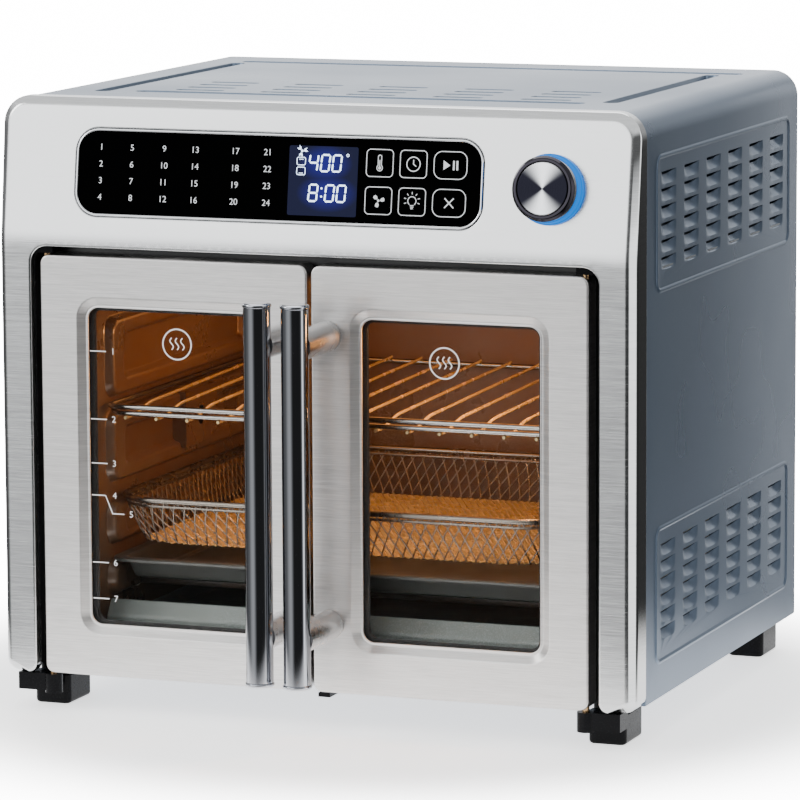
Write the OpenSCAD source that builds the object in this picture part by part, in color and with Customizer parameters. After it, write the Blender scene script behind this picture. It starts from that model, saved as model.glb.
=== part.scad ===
// Countertop convection oven with two side-hinged glass doors.
// Every module draws at the oven's front: X = 0 in the middle, Y = 0 on the
// doors' outer face, Z = 0 at the doors' lower edge. oven() moves it so that
// the origin is under the middle of the oven, on the surface it stands on.

/* [Cabinet] */
// Width of the cabinet
cabinet_w = 486; // [480:1:500]
// Depth from the doors' face to the rear cover
cabinet_d = 402; // [398:1:420]
// Height of the cabinet above the doors' lower edge
cabinet_h = 421; // [419:1:430]
// Radius of the long top edges
cabinet_r = 20; // [14:1:24]
// Thickness of the steel sheet
sheet = 1.2; // [1:0.1:1.4]
// Height of the feet below the doors' lower edge
foot_h = 28; // [24:1:34]

/* [Front] */
// Depth of the front bezel
bezel_d = 27.5; // [26:0.5:30]
// Height at which the control panel starts to lean back
bend_z = 319; // [317:1:322]
// Lean of the control panel in degrees
lean = 8; // [6:1:9]
// Half width of the door opening in the bezel
opening_half_w = 216; // [215:1:218]
// Height of the door opening in the bezel
opening_h = 313; // [312:1:315]
// Radius of the bezel's lower corners
bezel_r = 9; // [6:1:10]

/* [Controls] */
// Left end of the control glass
glass_x0 = -180; // [-184:1:-176]
// Right end of the control glass
glass_x1 = 127; // [122:1:130]
// Lower edge of the control glass up the panel
glass_s0 = 20; // [18:1:22]
// Upper edge of the control glass up the panel
glass_s1 = 79; // [78:1:80]
// Distance of the knob from the middle
knob_x = 179; // [176:1:184]
// Height of the knob up the panel
knob_s = 48; // [44:1:52]
// Diameter of the knob
knob_d = 46; // [40:1:47]
// How far the knob stands out from the panel
knob_out = 18; // [16:1:20]

/* [Doors] */
// Height of a door
door_h = 307.4; // [306:0.2:308]
// Outer edge of a door, from the middle
door_x1 = 209; // [208:0.5:210]
// Gap between the two doors
seam = 3; // [3:0.5:4]
// Thickness of a door
door_t = 20; // [18:1:20]
// Lower edge of the window
window_z0 = 38.5; // [36:0.5:42]
// Upper edge of the window
window_z1 = 270; // [264:1:272]
// Inner edge of the window, from the middle
window_x0 = 39; // [37:0.5:42]
// Outer edge of the window, from the middle
window_x1 = 172.5; // [168:0.5:174]
// Width of the pressed rim round the window
rim_w = 8; // [6:0.5:9]
// Diameter of the hinge pins
pin_d = 5; // [4:0.5:6]
// Distance of the hinge pins from the middle
pin_x = 205.5; // [205:0.5:206]

/* [Handles] */
// Diameter of a handle bar
bar_d = 19.5; // [16:0.5:20]
// Distance of a handle bar from the middle
bar_x = 14.2; // [13:0.1:16]
// Distance of a handle bar's centre line in front of the doors
bar_out = 62; // [50:1:70]
// Lower end of the handle bars
bar_z0 = 15; // [10:1:24]
// Upper end of the handle bars
bar_z1 = 288; // [280:1:296]

/* [Chamber] */
// Inside width of the cooking chamber
chamber_w = 356; // [350:1:358]
// Depth at which the chamber ends
chamber_y1 = 345; // [340:1:350]
// Floor of the chamber
chamber_z0 = 22; // [21:1:23]
// Ceiling of the chamber
chamber_z1 = 296; // [294:1:297]
// Height of the wire rack
rack_z = 193; // [190:1:196]
// Height of the crisper basket's rim
basket_z = 127; // [124:1:130]
// Height of the baking pan's rim
pan_z = 80; // [78:1:82]
// Number of wires in the wire rack
rack_wires = 13; // [9:1:15]

/* [Hidden] */

$fn = 48;
eps = 0.5;                                  // overshoot of a cut
run_gap = 0.05;                             // radial clearance of a shaft in its bearing
gap = 0.3;                                  // gap between moving pieces
gland_out = 12;                             // how far the cord gland stands out at the rear
cap_d = bar_d + 1.3;                        // handle end caps
front_y = (bar_out + cap_d / 2 - cabinet_d - gland_out) / 2;
half_w = cabinet_w / 2;
inner_w = half_w - sheet;
shell_y0 = bezel_d + 0.3;
shell_y1 = cabinet_d - sheet;
shell_z0 = 0.5;
flange = 10;                                // width of the shell's inward edges
base_z = shell_z0 + sheet;

// side louvres
louvre_cols = 6;
louvre_rows = 6;
louvre_y0 = 61;
louvre_pitch_y = 53;
louvre_w = 36;
louvre_pitch_z = 12.1;
slit = 3;
louvre_fields = [44.5, 309.5];              // height of each field's lowest row

// vent slots in the top
top_groups = 5;
top_group_x = -145;
top_group_pitch = 67;
top_slots = 4;
top_slot_y = 104;
top_slot_pitch = 22.4;
top_slot_w = 36;

// frame and doors
frame_y = 22;
frame_t = 1.2;
door_x0 = seam / 2;
pin_y = 6;
skin_t = 1.2;
skin_d = door_t - 2;
seal_w = 5;
glass_y = 4;
glass_t = 4;
glass_edge = 7;                             // the pane's edge behind the window's edge
post_d = 22;
post_z = [50, 257.7];
cap_t = 3;
knuckle_r = 6.5;
bracket_z0 = -15.5;
bracket_z1 = -1.3;
bezel_z0 = -1;                              // lower end of the bezel's legs

// chamber and what is in it
wall = 1;
half_c = chamber_w / 2;
liner_y0 = frame_y + frame_t;
wool = 8;
rod = 5;
insert_y0 = 34;
insert_y1 = 326;
insert_half_w = half_c - 3;
tray_lip = 49;
top_level = 238;                            // highest rack position
element_d = 6.5;
element_x = 200;
upper_elements = [[110, 284], [250, 284]];  // [depth, height] of each element
lower_elements = [[90, 57], [185, 57], [280, 57]];
bush_d = 12;
fan_c = [190, 165];                         // [depth, height] of the fan's axis
fan_r = 75;
shroud_r = 92;
shroud_x1 = half_c + wall + 22;
motor_x0 = shroud_x1 + 13;
lamp_c = [60, 264];
spit_c = [195, 165];

module oven() { translate([0, front_y, foot_h]) children(); }

// local X across, local Y up the leaning panel, local Z out of it
module on_panel() { translate([0, 0, bend_z]) rotate([90 - lean, 0, 0]) children(); }

// outline in X and Z, drawn from y0 back to y1
module along_y(y0, y1) { translate([0, y1, 0]) rotate([90, 0, 0]) linear_extrude(y1 - y0) children(); }

// outline in Y and Z, drawn from x0 to x1
module along_x(x0, x1) {
  translate([x0, 0, 0]) rotate([90, 0, 90]) linear_extrude(x1 - x0) children();
}

module both_sides() { children(); mirror([1, 0, 0]) children(); }

// rectangle between two corners with rounded corners
module rrect(x0, y0, x1, y1, r) {
  translate([x0 + r, y0]) square([x1 - x0 - 2 * r, y1 - y0]);
  translate([x0, y0 + r]) square([x1 - x0, y1 - y0 - 2 * r]);
  for (x = [x0 + r, x1 - r], y = [y0 + r, y1 - r]) translate([x, y]) circle(r);
}

module slot(w, h) {
  translate([-w / 2 + h / 2, -h / 2]) square([w - h, h]);
  for (side = [-1, 1]) translate([side * (w - h) / 2, 0]) circle(d = h);
}

module block(x, y, z) { translate([x[0], y[0], z[0]]) cube([x[1] - x[0], y[1] - y[0], z[1] - z[0]]); }

// ---- cabinet ----

// outline of the oven in X and Z, with large top corners and small lower ones
module front_outline(bottom, low_r, inset) {
  r = cabinet_r - inset;
  low = low_r - inset;
  w = half_w - inset;
  z0 = bottom + inset;
  z1 = cabinet_h - inset;
  translate([-w, z0 + low]) square([2 * w, z1 - r - z0 - low]);
  translate([-w + r, z1 - r - 1]) square([2 * (w - r), r + 1]);
  translate([-w + low, z0]) square([2 * (w - low), low + 1]);
  for (side = [-1, 1]) {
    translate([side * (w - r), z1 - r]) circle(r);
    translate([side * (w - low), z0 + low]) circle(low);
  }
}

module cabinet_outline(inset = 0) { front_outline(shell_z0, 3 + inset, inset); }

module louvre_slits() {
  for (z0 = louvre_fields, row = [0:louvre_rows - 1], col = [0:louvre_cols - 1])
    block([-half_w - eps, half_w + eps],
          [louvre_y0 + col * louvre_pitch_y, louvre_y0 + col * louvre_pitch_y + louvre_w],
          [z0 + row * louvre_pitch_z, z0 + row * louvre_pitch_z + slit]);
}

module top_vents() {
  for (group = [0:top_groups - 1], row = [0:top_slots - 1])
    translate([top_group_x + group * top_group_pitch + top_slot_w / 2,
               top_slot_y + row * top_slot_pitch, cabinet_h - 3 * sheet])
      linear_extrude(4 * sheet) slot(top_slot_w, slit);
}

module cabinet_shell() {
  color([0.42, 0.46, 0.50]) oven() difference() {
    along_y(shell_y0, shell_y1) cabinet_outline();
    along_y(shell_y0 - eps, shell_y1 - sheet) cabinet_outline(sheet);
    along_y(shell_y1 - 2 * sheet, shell_y1 + eps) cabinet_outline(flange);
    block([-inner_w + flange, inner_w - flange], [shell_y0 - eps, shell_y1 + eps], [-eps, base_z + eps]);
    louvre_slits();
    top_vents();
  }
}

module rear_panel() {
  color([0.40, 0.44, 0.48]) oven() difference() {
    along_y(shell_y1, cabinet_d) cabinet_outline(sheet);
    along_y(shell_y1 - eps, cabinet_d + eps) {
      for (side = [-1, 1], row = [0:7]) translate([side * 110, 250 + row * 14]) slot(120, 4);
      for (side = [-1, 1], row = [0:5]) translate([side * 90, 60 + row * 14]) slot(90, 4);
      translate([170, 60]) circle(d = 20);
      for (p = rear_screw_places()) translate(p) circle(d = 3.4);
    }
  }
}

function rear_screw_places() = [for (x = [-1, 1], z = [20, 140, 280, 400]) [x * (inner_w - 5), z]];

function foot_places() = [for (x = [-1, 1], y = [43, 378]) [x * 215, y]];

module cabinet_screws() {
  color("silver") oven() {
    for (p = rear_screw_places()) translate([p[0], cabinet_d, p[1]]) rotate([90, 0, 0]) {
      translate([0, 0, -2]) cylinder(d = 6.5, h = 2);
      cylinder(d = 3.4, h = sheet);
    }
    for (p = foot_places()) translate([p[0], p[1], 4 - foot_h]) {
      cylinder(d = 7, h = 2.5);
      cylinder(d = 4, h = foot_h - 4 + base_z + sheet + 5);
    }
  }
}

module base_pan() {
  color([0.35, 0.37, 0.40]) oven() difference() {
    union() {
      block([-opening_half_w - 19, opening_half_w + 19], [frame_y + frame_t, shell_y0 + eps],
            [base_z, base_z + sheet]);
      along_y(shell_y0, shell_y1 - sheet) difference() {
        rrect(-inner_w, base_z, inner_w, base_z + 20, 3);
        translate([-inner_w + sheet, base_z + sheet]) square([2 * (inner_w - sheet), 20]);
        translate([-inner_w - 1, base_z + 14]) square([2 * inner_w + 2, 8]);
      }
    }
    for (x = [-3:3], y = [0:4]) translate([x * 52, 110 + y * 44, base_z - eps])
      linear_extrude(sheet + 2 * eps) slot(34, 5);
    for (p = foot_places()) translate([p[0], p[1], base_z - eps]) cylinder(d = 4, h = sheet + 2 * eps);
  }
}

module feet() {
  color([0.08, 0.08, 0.09]) oven() for (p = foot_places()) translate([p[0], p[1], -foot_h]) difference() {
    union() {
      linear_extrude(foot_h + shell_z0 - 6) rrect(-14, -21, 14, 21, 5);
      translate([0, 0, foot_h + shell_z0 - 7]) linear_extrude(base_z - shell_z0 + 7) rrect(-13, -14, 13, 14, 5);
    }
    translate([0, 0, -eps]) cylinder(d = 12, h = 4 + eps);
    cylinder(d = 7, h = 6.5);
    cylinder(d = 4, h = foot_h + 10);
  }
}

module cord_gland() {
  color([0.08, 0.08, 0.09]) oven() translate([170, cabinet_d, 60]) rotate([-90, 0, 0]) difference() {
    union() {
      cylinder(d = 26, h = 4);
      cylinder(d = 16, h = gland_out);
      translate([0, 0, -sheet]) cylinder(d = 20, h = sheet);
      translate([0, 0, -10]) cylinder(d = 18, h = 10 - sheet);
    }
    translate([0, 0, -11]) cylinder(d = 7.4, h = gland_out + 12);
  }
}

// ---- front ----

// solid bezel: its outline from the front, cut by the upright and leaning front faces
module bezel_body(inset, y1) {
  intersection() {
    along_y(-1, y1) front_outline(bezel_z0, bezel_r, inset);
    along_x(-half_w - 1, half_w + 1) polygon([[inset, -10], [inset, bend_z - inset * tan(lean / 2)],
      [inset / cos(lean) + cabinet_r * 6 * tan(lean), bend_z + cabinet_r * 6], [80, bend_z + cabinet_r * 6], [80, -10]]);
  }
}

module front_bezel() {
  color([0.78, 0.78, 0.77]) oven() difference() {
    bezel_body(0, bezel_d);
    bezel_body(sheet, bezel_d + eps);
    along_y(-2, bezel_d + 1) {
      rrect(-opening_half_w, -40, opening_half_w, opening_h, 12);
    }
    on_panel() translate([0, 0, -10]) linear_extrude(20) {
      rrect(glass_x0 - gap, glass_s0 - gap, glass_x1 + gap, glass_s1 + gap, 15 + gap);
      translate([knob_x, knob_s]) circle(d = 10);
    }
  }
}

module front_frame() {
  color([0.10, 0.10, 0.11]) oven() difference() {
    block([-opening_half_w - 22, opening_half_w + 22], [frame_y, frame_y + frame_t], [base_z, bend_z]);
    block([-half_c, half_c], [frame_y - eps, frame_y + frame_t + eps], [chamber_z0, chamber_z1]);
  }
}

module hinge_brackets() {
  color([0.08, 0.08, 0.09]) oven() both_sides() {
    difference() {
      union() {
        translate([pin_x, pin_y, bracket_z0]) cylinder(r = knuckle_r, h = bracket_z1 - bracket_z0);
        block([pin_x, 232], [2, 20], [bracket_z0 + 1.5, bracket_z1]);
        block([opening_half_w + 1, 231], [6, 18], [bracket_z1 - 1, bezel_z0]);
      }
      translate([pin_x, pin_y, bracket_z0 + 3]) cylinder(d = pin_d + 2 * run_gap, h = 20);
    }
    difference() {
      block([pin_x - 6, 224], [1.6, frame_y], [door_h + 1.2, bend_z + 1]);
      translate([pin_x, pin_y, door_h]) cylinder(d = pin_d + 2 * run_gap, h = 9);
    }
  }
}

module door_catch() {
  color([0.08, 0.08, 0.09]) oven() {
    block([4, 13], [3, 34], [-4, bezel_z0]);
    block([4, 13], [26, 34], [bezel_z0 - eps, base_z]);
  }
}

// ---- controls ----

module panel_carrier() {
  color([0.10, 0.10, 0.11]) oven() on_panel() difference() {
    translate([0, 0, -13]) linear_extrude(13 - sheet - 0.05)
      rrect(glass_x0 - 6, glass_s0 - 5, glass_x1 + 6, glass_s1 + 4, 12);
    translate([0, 0, -3.3]) linear_extrude(5)
      rrect(glass_x0 - gap, glass_s0 - gap, glass_x1 + gap, glass_s1 + gap, 15 + gap);
    translate([0, 0, -13.5]) linear_extrude(20)
      rrect(glass_x0 + 4, glass_s0 + 3, glass_x1 - 4, glass_s1 - 3, 10);
  }
}

module control_glass() {
  color([0.02, 0.02, 0.025]) oven() on_panel() translate([0, 0, -3.3]) linear_extrude(3)
    rrect(glass_x0, glass_s0, glass_x1, glass_s1, 15);
}

module display_module() {
  color([0.05, 0.10, 0.45]) oven() on_panel() translate([-17.5, 24, -9]) cube([52.5, 49.2, 5.5]);
}

module touch_pads() {
  color([0.75, 0.60, 0.25]) oven() on_panel() for (column = [[41, 20], [66.6, 20], [92, 24.4]], s = [26.6, 53])
    translate([0, 0, -13.8]) linear_extrude(10)
      rrect(column[0], s, column[0] + column[1], s + 19, 3);
}

module control_board() {
  color([0.10, 0.35, 0.20]) oven() on_panel() {
    translate([glass_x0 + 4, 22, -15.6]) cube([knob_x + 20 - glass_x0 - 4, 50, 1.6]);
    for (x = [-150, -110, -70]) translate([x, 34, -22]) cube([18, 18, 6.4]);
    translate([60, 30, -26]) cube([36, 14, 10.4]);
  }
}

module encoder() {
  color([0.55, 0.56, 0.58]) oven() on_panel() translate([knob_x, knob_s, 0]) difference() {
    union() {
      translate([-8, -8, -14]) cube([16, 16, 9]);
      translate([0, 0, -6]) cylinder(d = 9, h = 9);
    }
    translate([0, 0, -13]) cylinder(d = 6 + 2 * run_gap, h = 20);
  }
}

module encoder_shaft() {
  color("silver") oven() on_panel() translate([knob_x, knob_s, -12.5]) cylinder(d = 6, h = 12.5 + knob_out - 4);
}

module knob_light_ring() {
  color([0.20, 0.62, 1.0]) oven() on_panel() translate([knob_x, knob_s, 0]) difference() {
    union() {
      cylinder(d = 50, h = 4, $fn = 96);
      cylinder(d = 47.5, h = 9, $fn = 96);
    }
    translate([0, 0, -eps]) cylinder(d = 36, h = 12, $fn = 96);
  }
}

module knob() {
  color([0.70, 0.71, 0.73]) oven() on_panel() translate([knob_x, knob_s, 0]) difference() {
    rotate_extrude($fn = 96) polygon([[3, 4], [7, 4], [7, 12], [knob_d / 2 - 3, 12], [knob_d / 2 - 3, 9.4],
      [knob_d / 2, 9.4], [knob_d / 2, knob_out - 2], [knob_d / 2 - 2, knob_out],
      [18.6, knob_out], [18.6, knob_out - 1.5], [0, knob_out - 1.5], [0, knob_out - 4], [3, knob_out - 4]]);
  }
}

module knob_cap() {
  color([0.80, 0.81, 0.83]) oven() on_panel() translate([knob_x, knob_s, knob_out - 1.5])
    cylinder(r = 18.4, h = 1.3, $fn = 96);
}

module power_board() {
  color([0.12, 0.38, 0.22]) oven() {
    block([-160, 20], [200, 330], [316, 317.6]);
    for (x = [-150, 10], y = [210, 320]) translate([x, y, 308]) cylinder(d = 6, h = 8);
    for (x = [-140, -108, -76]) block([x, x + 24], [220, 250], [317.6, 338]);
    block([-40, 0], [215, 265], [317.6, 350]);
    for (x = [-120, -90]) translate([x, 295, 317.6]) cylinder(d = 18, h = 28);
  }
}

// ---- cooking chamber ----

module element_places(x_side) {
  for (p = concat(upper_elements, lower_elements)) translate([x_side, p[0], p[1]]) children();
}

module liner_box(out) {
  block([-half_c - out, half_c + out], [liner_y0, chamber_y1 + out], [chamber_z0 - out, chamber_z1 + out]);
}

// holes in the right wall in front of the fan: rings of round holes
module fan_grille() {
  for (ring = [0:5], i = [0:max(0, 6 * ring - 1)])
    rotate(ring == 0 ? 0 : i * 60 / ring) translate([ring * 12, 0]) circle(d = 7, $fn = 24);
}

module cavity_liner() {
  color([0.45, 0.42, 0.38]) oven() difference() {
    liner_box(wall);
    translate([0, -eps, 0]) block([-half_c, half_c], [liner_y0, chamber_y1 + eps], [chamber_z0, chamber_z1]);
    for (side = [-1, 1]) element_places(side * half_c - 5) rotate([0, 90, 0]) cylinder(d = bush_d + 0.4, h = 10);
    along_x(half_c - eps, half_c + wall + eps) translate(fan_c) fan_grille();
    along_x(half_c - eps, half_c + wall + eps) translate(lamp_c) circle(d = 40);
    along_x(-half_c - wall - eps, -half_c + eps) translate(spit_c) circle(d = 16);
  }
}

module insulation() {
  color([0.85, 0.82, 0.70]) oven() difference() {
    block([-half_c - wall - wool, half_c + wall + wool], [liner_y0 + 4, chamber_y1 + wall + wool],
          [chamber_z0 - wall, chamber_z1 + wall + wool]);
    liner_box(wall);
    block([-half_c - wall, half_c + wall], [liner_y0, chamber_y1 + wall], [-10, chamber_z0 + 5]);
    for (side = [-1, 1]) element_places(side * (half_c + 5) - 10) rotate([0, 90, 0]) cylinder(d = 20, h = 24);
    along_x(half_c, half_c + 20) {
      translate(fan_c) circle(r = shroud_r + 2);
      translate(lamp_c) circle(d = 56);
    }
    along_x(-half_c - 20, -half_c) translate(spit_c) circle(d = 20);
    translate([-60, 140, chamber_z1]) cylinder(d = 30, h = 20);
    translate([40, 330, 230]) rotate([-90, 0, 0]) cylinder(d = 12, h = 40);
  }
}

module top_deck() {
  color([0.62, 0.64, 0.66]) oven() difference() {
    block([-inner_w + gap, inner_w - gap], [60, shell_y1 - sheet - 2], [307, 308]);
    translate([-60, 140, 300]) cylinder(d = 30, h = 20);
    for (x = [-4:4]) translate([x * 48, 100, 300]) linear_extrude(20) slot(30, 6);
  }
}

module guide_side() {
  for (y = [52, 290]) block([half_c - 2, half_c], [y, y + 14], [40, top_level]);
  for (z = [top_level, rack_z - rod / 2, basket_z - rod / 2, pan_z])
    block([half_c - 8, half_c], [40, 330], [z - gap - 2, z - gap]);
}

module rack_guides() { color([0.50, 0.44, 0.36]) oven() both_sides() guide_side(); }

module heating_elements() {
  color([0.30, 0.28, 0.27]) oven() element_places(-element_x) rotate([0, 90, 0])
    cylinder(d = element_d, h = 2 * element_x);
}

module heater_bushes() {
  color([0.92, 0.90, 0.86]) oven() both_sides() element_places(half_c - 4) rotate([0, 90, 0]) difference() {
    union() {
      cylinder(d = bush_d, h = 18);
      translate([0, 0, 4 + wall]) cylinder(d = bush_d + 4, h = 3);
    }
    translate([0, 0, -eps]) cylinder(d = element_d, h = 20);
  }
}

module fan_shroud() {
  color([0.60, 0.61, 0.62]) oven() difference() {
    union() {
      along_x(half_c + wall, shroud_x1) translate(fan_c) circle(r = shroud_r);
      for (side = [-1, 1]) along_x(shroud_x1 - eps, motor_x0) translate(fan_c + [side * 42, 0]) circle(d = 7);
    }
    along_x(half_c, shroud_x1 - wall) translate(fan_c) circle(r = shroud_r - wall);
    along_x(half_c, shroud_x1 + 1) translate(fan_c) circle(d = 14);
  }
}

module fan_wheel() {
  color([0.70, 0.71, 0.72]) oven() difference() {
    union() {
      along_x(half_c + 17, half_c + 18) translate(fan_c) circle(r = fan_r);
      along_x(half_c + 6, half_c + 18) translate(fan_c) circle(d = 16);
      for (i = [0:11]) along_x(half_c + 5, half_c + 17.5) translate(fan_c) rotate(i * 30)
        translate([22, -0.6]) square([fan_r - 24, 1.2]);
    }
    along_x(half_c, half_c + 20) translate(fan_c) circle(d = 5);
  }
}

module cooling_fan() {
  color([0.15, 0.15, 0.16]) oven() difference() {
    union() {
      along_x(shroud_x1 + 2, shroud_x1 + 10) translate(fan_c) circle(d = 14);
      along_x(shroud_x1 + 2, shroud_x1 + 3) translate(fan_c) circle(r = 32);
      for (i = [0:8]) along_x(shroud_x1 + 2.5, shroud_x1 + 10) translate(fan_c) rotate(i * 40)
        translate([12, -0.6]) square([19, 1.2]);
    }
    along_x(shroud_x1, shroud_x1 + 12) translate(fan_c) circle(d = 5);
  }
}

module fan_shaft() {
  color("silver") oven() along_x(half_c + 6, motor_x0 + 21) translate(fan_c) circle(d = 5);
}

module fan_motor() {
  color([0.45, 0.46, 0.48]) oven() difference() {
    union() {
      along_x(motor_x0, motor_x0 + 1.5) translate(fan_c) rrect(-50, -30, 50, 30, 6);
      along_x(motor_x0 + 1.5, motor_x0 + 20) translate(fan_c) rrect(-28, -24, 28, 24, 4);
    }
    along_x(motor_x0 - 1, motor_x0 + 24) translate(fan_c) circle(d = 5 + 2 * run_gap);
  }
}

module lamp_holder() {
  color([0.75, 0.74, 0.70]) oven() difference() {
    along_x(half_c + wall, half_c + 46) translate(lamp_c) circle(d = 52);
    along_x(half_c, half_c + 42) translate(lamp_c) circle(d = 42);
  }
}

module lamp_bulb() {
  color([1.0, 0.90, 0.65, 0.6]) oven() {
    along_x(half_c + 32, half_c + 42) translate(lamp_c) circle(d = 16);
    along_x(half_c + 12, half_c + 32) translate(lamp_c) circle(d = 22);
  }
}

module lamp_lens() {
  color([0.95, 0.92, 0.80, 0.5]) oven() {
    along_x(half_c - 3, half_c) translate(lamp_c) circle(d = 46);
    along_x(half_c, half_c + 4) translate(lamp_c) circle(d = 39.6);
  }
}

module spit_brackets() {
  color([0.50, 0.44, 0.36]) oven() {
    difference() {
      block([-half_c, -half_c + 12], [spit_c[0] - 30, spit_c[0] + 30], [spit_c[1] - 21, spit_c[1] + 21]);
      block([-half_c - 1, -half_c + 11], [spit_c[0] - 29, spit_c[0] + 29], [spit_c[1] - 30, spit_c[1] + 30]);
      along_x(-half_c, -half_c + 14) translate(spit_c) circle(d = 15);
    }
    difference() {
      along_x(half_c - 7, half_c) translate(spit_c) rrect(-14, -18, 14, 12, 4);
      along_x(half_c - 8, half_c + 1) translate(spit_c) {
        circle(d = 8);
        translate([-4, 0]) square([8, 20]);
      }
    }
  }
}

module spit_socket() {
  color("silver") oven() difference() {
    union() {
      along_x(-half_c - 18, -half_c + 9) translate(spit_c) circle(d = 13);
      along_x(-half_c - 34, -half_c - 17) translate(spit_c) circle(d = 8);
    }
    along_x(-half_c - 10, -half_c + 10) translate(spit_c) square(7.5, center = true);
  }
}

module spit_motor() {
  color([0.20, 0.20, 0.22]) oven() difference() {
    along_x(-half_c - 56, -half_c - 20) translate(spit_c) rrect(-26, -26, 26, 26, 6);
    along_x(-half_c - 36, -half_c - 15) translate(spit_c) circle(d = 8 + 2 * run_gap);
  }
}

module temperature_sensor() {
  color("silver") oven() translate([40, chamber_y1 - 26, 230]) rotate([-90, 0, 0]) {
    cylinder(d = 4, h = 26);
    translate([0, 0, 26 + wall]) cylinder(d = 10, h = 8);
  }
}

module thermal_cutout() {
  color([0.85, 0.84, 0.80]) oven() translate([-60, 140, chamber_z1 + wall]) {
    cylinder(d = 20, h = 8);
    translate([-3, -12, 8]) cube([6, 24, 1]);
  }
}

module rod_x(x0, x1, y, z) { translate([x0, y, z]) rotate([0, 90, 0]) cylinder(d = rod, h = x1 - x0); }
module rod_y(x, y0, y1, z, d = rod) { translate([x, y1, z]) rotate([90, 0, 0]) cylinder(d = d, h = y1 - y0); }

// closed rectangular rod frame with square corners
module rod_frame(z) {
  x = insert_half_w - rod / 2;
  for (y = [insert_y0 + rod / 2, insert_y1 - rod / 2]) rod_x(-x - rod / 2, x + rod / 2, y, z);
  for (side = [-1, 1]) rod_y(side * x, insert_y0, insert_y1, z, rod - 0.4);
}

module wire_rack() {
  color([0.80, 0.80, 0.80]) oven() {
    rod_frame(rack_z);
    rod_x(-insert_half_w + 6, insert_half_w - 6, insert_y0 + 11, rack_z - 1);
    for (i = [0:rack_wires - 1])
      rod_y((i - (rack_wires - 1) / 2) * 24, insert_y0 + 1.5, insert_y1 - 1.5, rack_z + 1, 3);
  }
}

// open tray with a flat rim: rim at height z, floor `deep` below it
module open_tray(z, deep, t, rim_t, side_in, end_in, r) {
  x = insert_half_w - side_in;
  difference() {
    union() {
      translate([0, 0, z - deep]) linear_extrude(deep) rrect(-x, insert_y0 + end_in, x, insert_y1 - end_in, r);
      translate([0, 0, z - rim_t]) linear_extrude(rim_t)
        rrect(-insert_half_w, insert_y0 + 2, insert_half_w, insert_y1, r);
    }
    translate([0, 0, z - deep + t]) linear_extrude(deep + 1)
      rrect(-x + t, insert_y0 + end_in + t, x - t, insert_y1 - end_in - t, r - t);
  }
}

module crisper_basket() { color([0.55, 0.54, 0.50]) oven() open_tray(basket_z, 36, 1.2, rod / 2, 14, 14, 18); }

module baking_pan() { color([0.35, 0.36, 0.38]) oven() open_tray(pan_z + 1.2, 17, 1, 1.2, 12, 12, 16); }

module crumb_tray() {
  w = insert_half_w;
  lip = tray_lip - chamber_z0;
  color([0.62, 0.66, 0.66]) oven() translate([0, 0, chamber_z0 + gap]) difference() {
    union() {
      block([-w, w], [insert_y0, insert_y1 + 10], [0, 12]);
      block([-w, w], [insert_y0, insert_y0 + 9], [0, lip]);
    }
    block([-w + 1, w - 1], [insert_y0 + 1, insert_y1 + 9], [1, lip - 1]);
    block([-w + 1, w - 1], [insert_y0 + 9, insert_y1 + 9], [1, lip + 1]);
  }
}

// ---- doors (the right door; the left door is its mirror) ----

module door_skin() {
  difference() {
    union() {
      difference() {
        along_y(0, skin_d) rrect(door_x0, 0, door_x1, door_h, 6);
        along_y(skin_t, skin_d + eps) rrect(door_x0 + skin_t, skin_t, door_x1 - skin_t, door_h - skin_t, 6 - skin_t);
        along_y(-1, skin_d) window_outline(rim_w - skin_t, 14);
      }
      difference() {
        along_y(0, glass_y) window_outline(rim_w, 15);
        along_y(-1, glass_y - skin_t) window_outline(rim_w - skin_t, 14);
      }
    }
    along_y(-1, skin_d) window_outline(0, 8);
    for (z = [-1, door_h - 14]) translate([pin_x, pin_y, z]) cylinder(d = pin_d, h = 15);
  }
}

module window_outline(out, r) {
  rrect(window_x0 - out, window_z0 - out, window_x1 + out, window_z1 + out, r);
}

module door_glass() {
  along_y(glass_y, glass_y + glass_t)
    rrect(window_x0 - glass_edge, window_z0 - glass_edge, window_x1 + glass_edge, window_z1 + glass_edge, 10);
}

module door_seal() {
  difference() {
    along_y(glass_y + glass_t, skin_d) window_outline(glass_edge, 10);
    along_y(glass_y, skin_d + eps) window_outline(glass_edge - seal_w, 6);
  }
}

module door_frame() {
  difference() {
    union() {
      along_y(skin_d, door_t) rrect(door_x0 + 1, 1, door_x1 - 1, door_h - 1, 5);
      along_y(skin_t, skin_d + eps) for (z = [skin_t, door_h - skin_t - 10])
        rrect(pin_x - 9, z, door_x1 - skin_t - 0.05, z + 10, 6 - skin_t);
    }
    along_y(skin_d - eps, door_t + eps) window_outline(0, 8);
    for (z = [-1, door_h - 14]) translate([pin_x, pin_y, z]) cylinder(d = pin_d, h = 15);
  }
}

module hinge_pins() {
  translate([pin_x, pin_y, bracket_z0 + 3.5]) cylinder(d = pin_d, h = 8 - bracket_z0 - 3.5);
  translate([pin_x, pin_y, door_h - 10]) cylinder(d = pin_d, h = 18);
}

module handle_bar() {
  translate([bar_x, -bar_out, bar_z0 + cap_t]) difference() {
    cylinder(d = bar_d, h = bar_z1 - bar_z0 - 2 * cap_t, $fn = 64);
    translate([0, 0, -1]) cylinder(d = bar_d - 3, h = bar_z1 - bar_z0);
  }
}

module handle_caps() {
  for (z = [bar_z0, bar_z1 - cap_t]) translate([bar_x, -bar_out, z]) cylinder(d = cap_d, h = cap_t, $fn = 64);
}

module handle_posts() {
  for (z = post_z) difference() {
    translate([bar_x, 0, z]) rotate([90, 0, 0]) cylinder(d = post_d, h = bar_out - 3, $fn = 64);
    translate([bar_x, -bar_out, z - 20]) cylinder(d = bar_d, h = 40, $fn = 64);
  }
}

module left() { mirror([1, 0, 0]) children(); }

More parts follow.
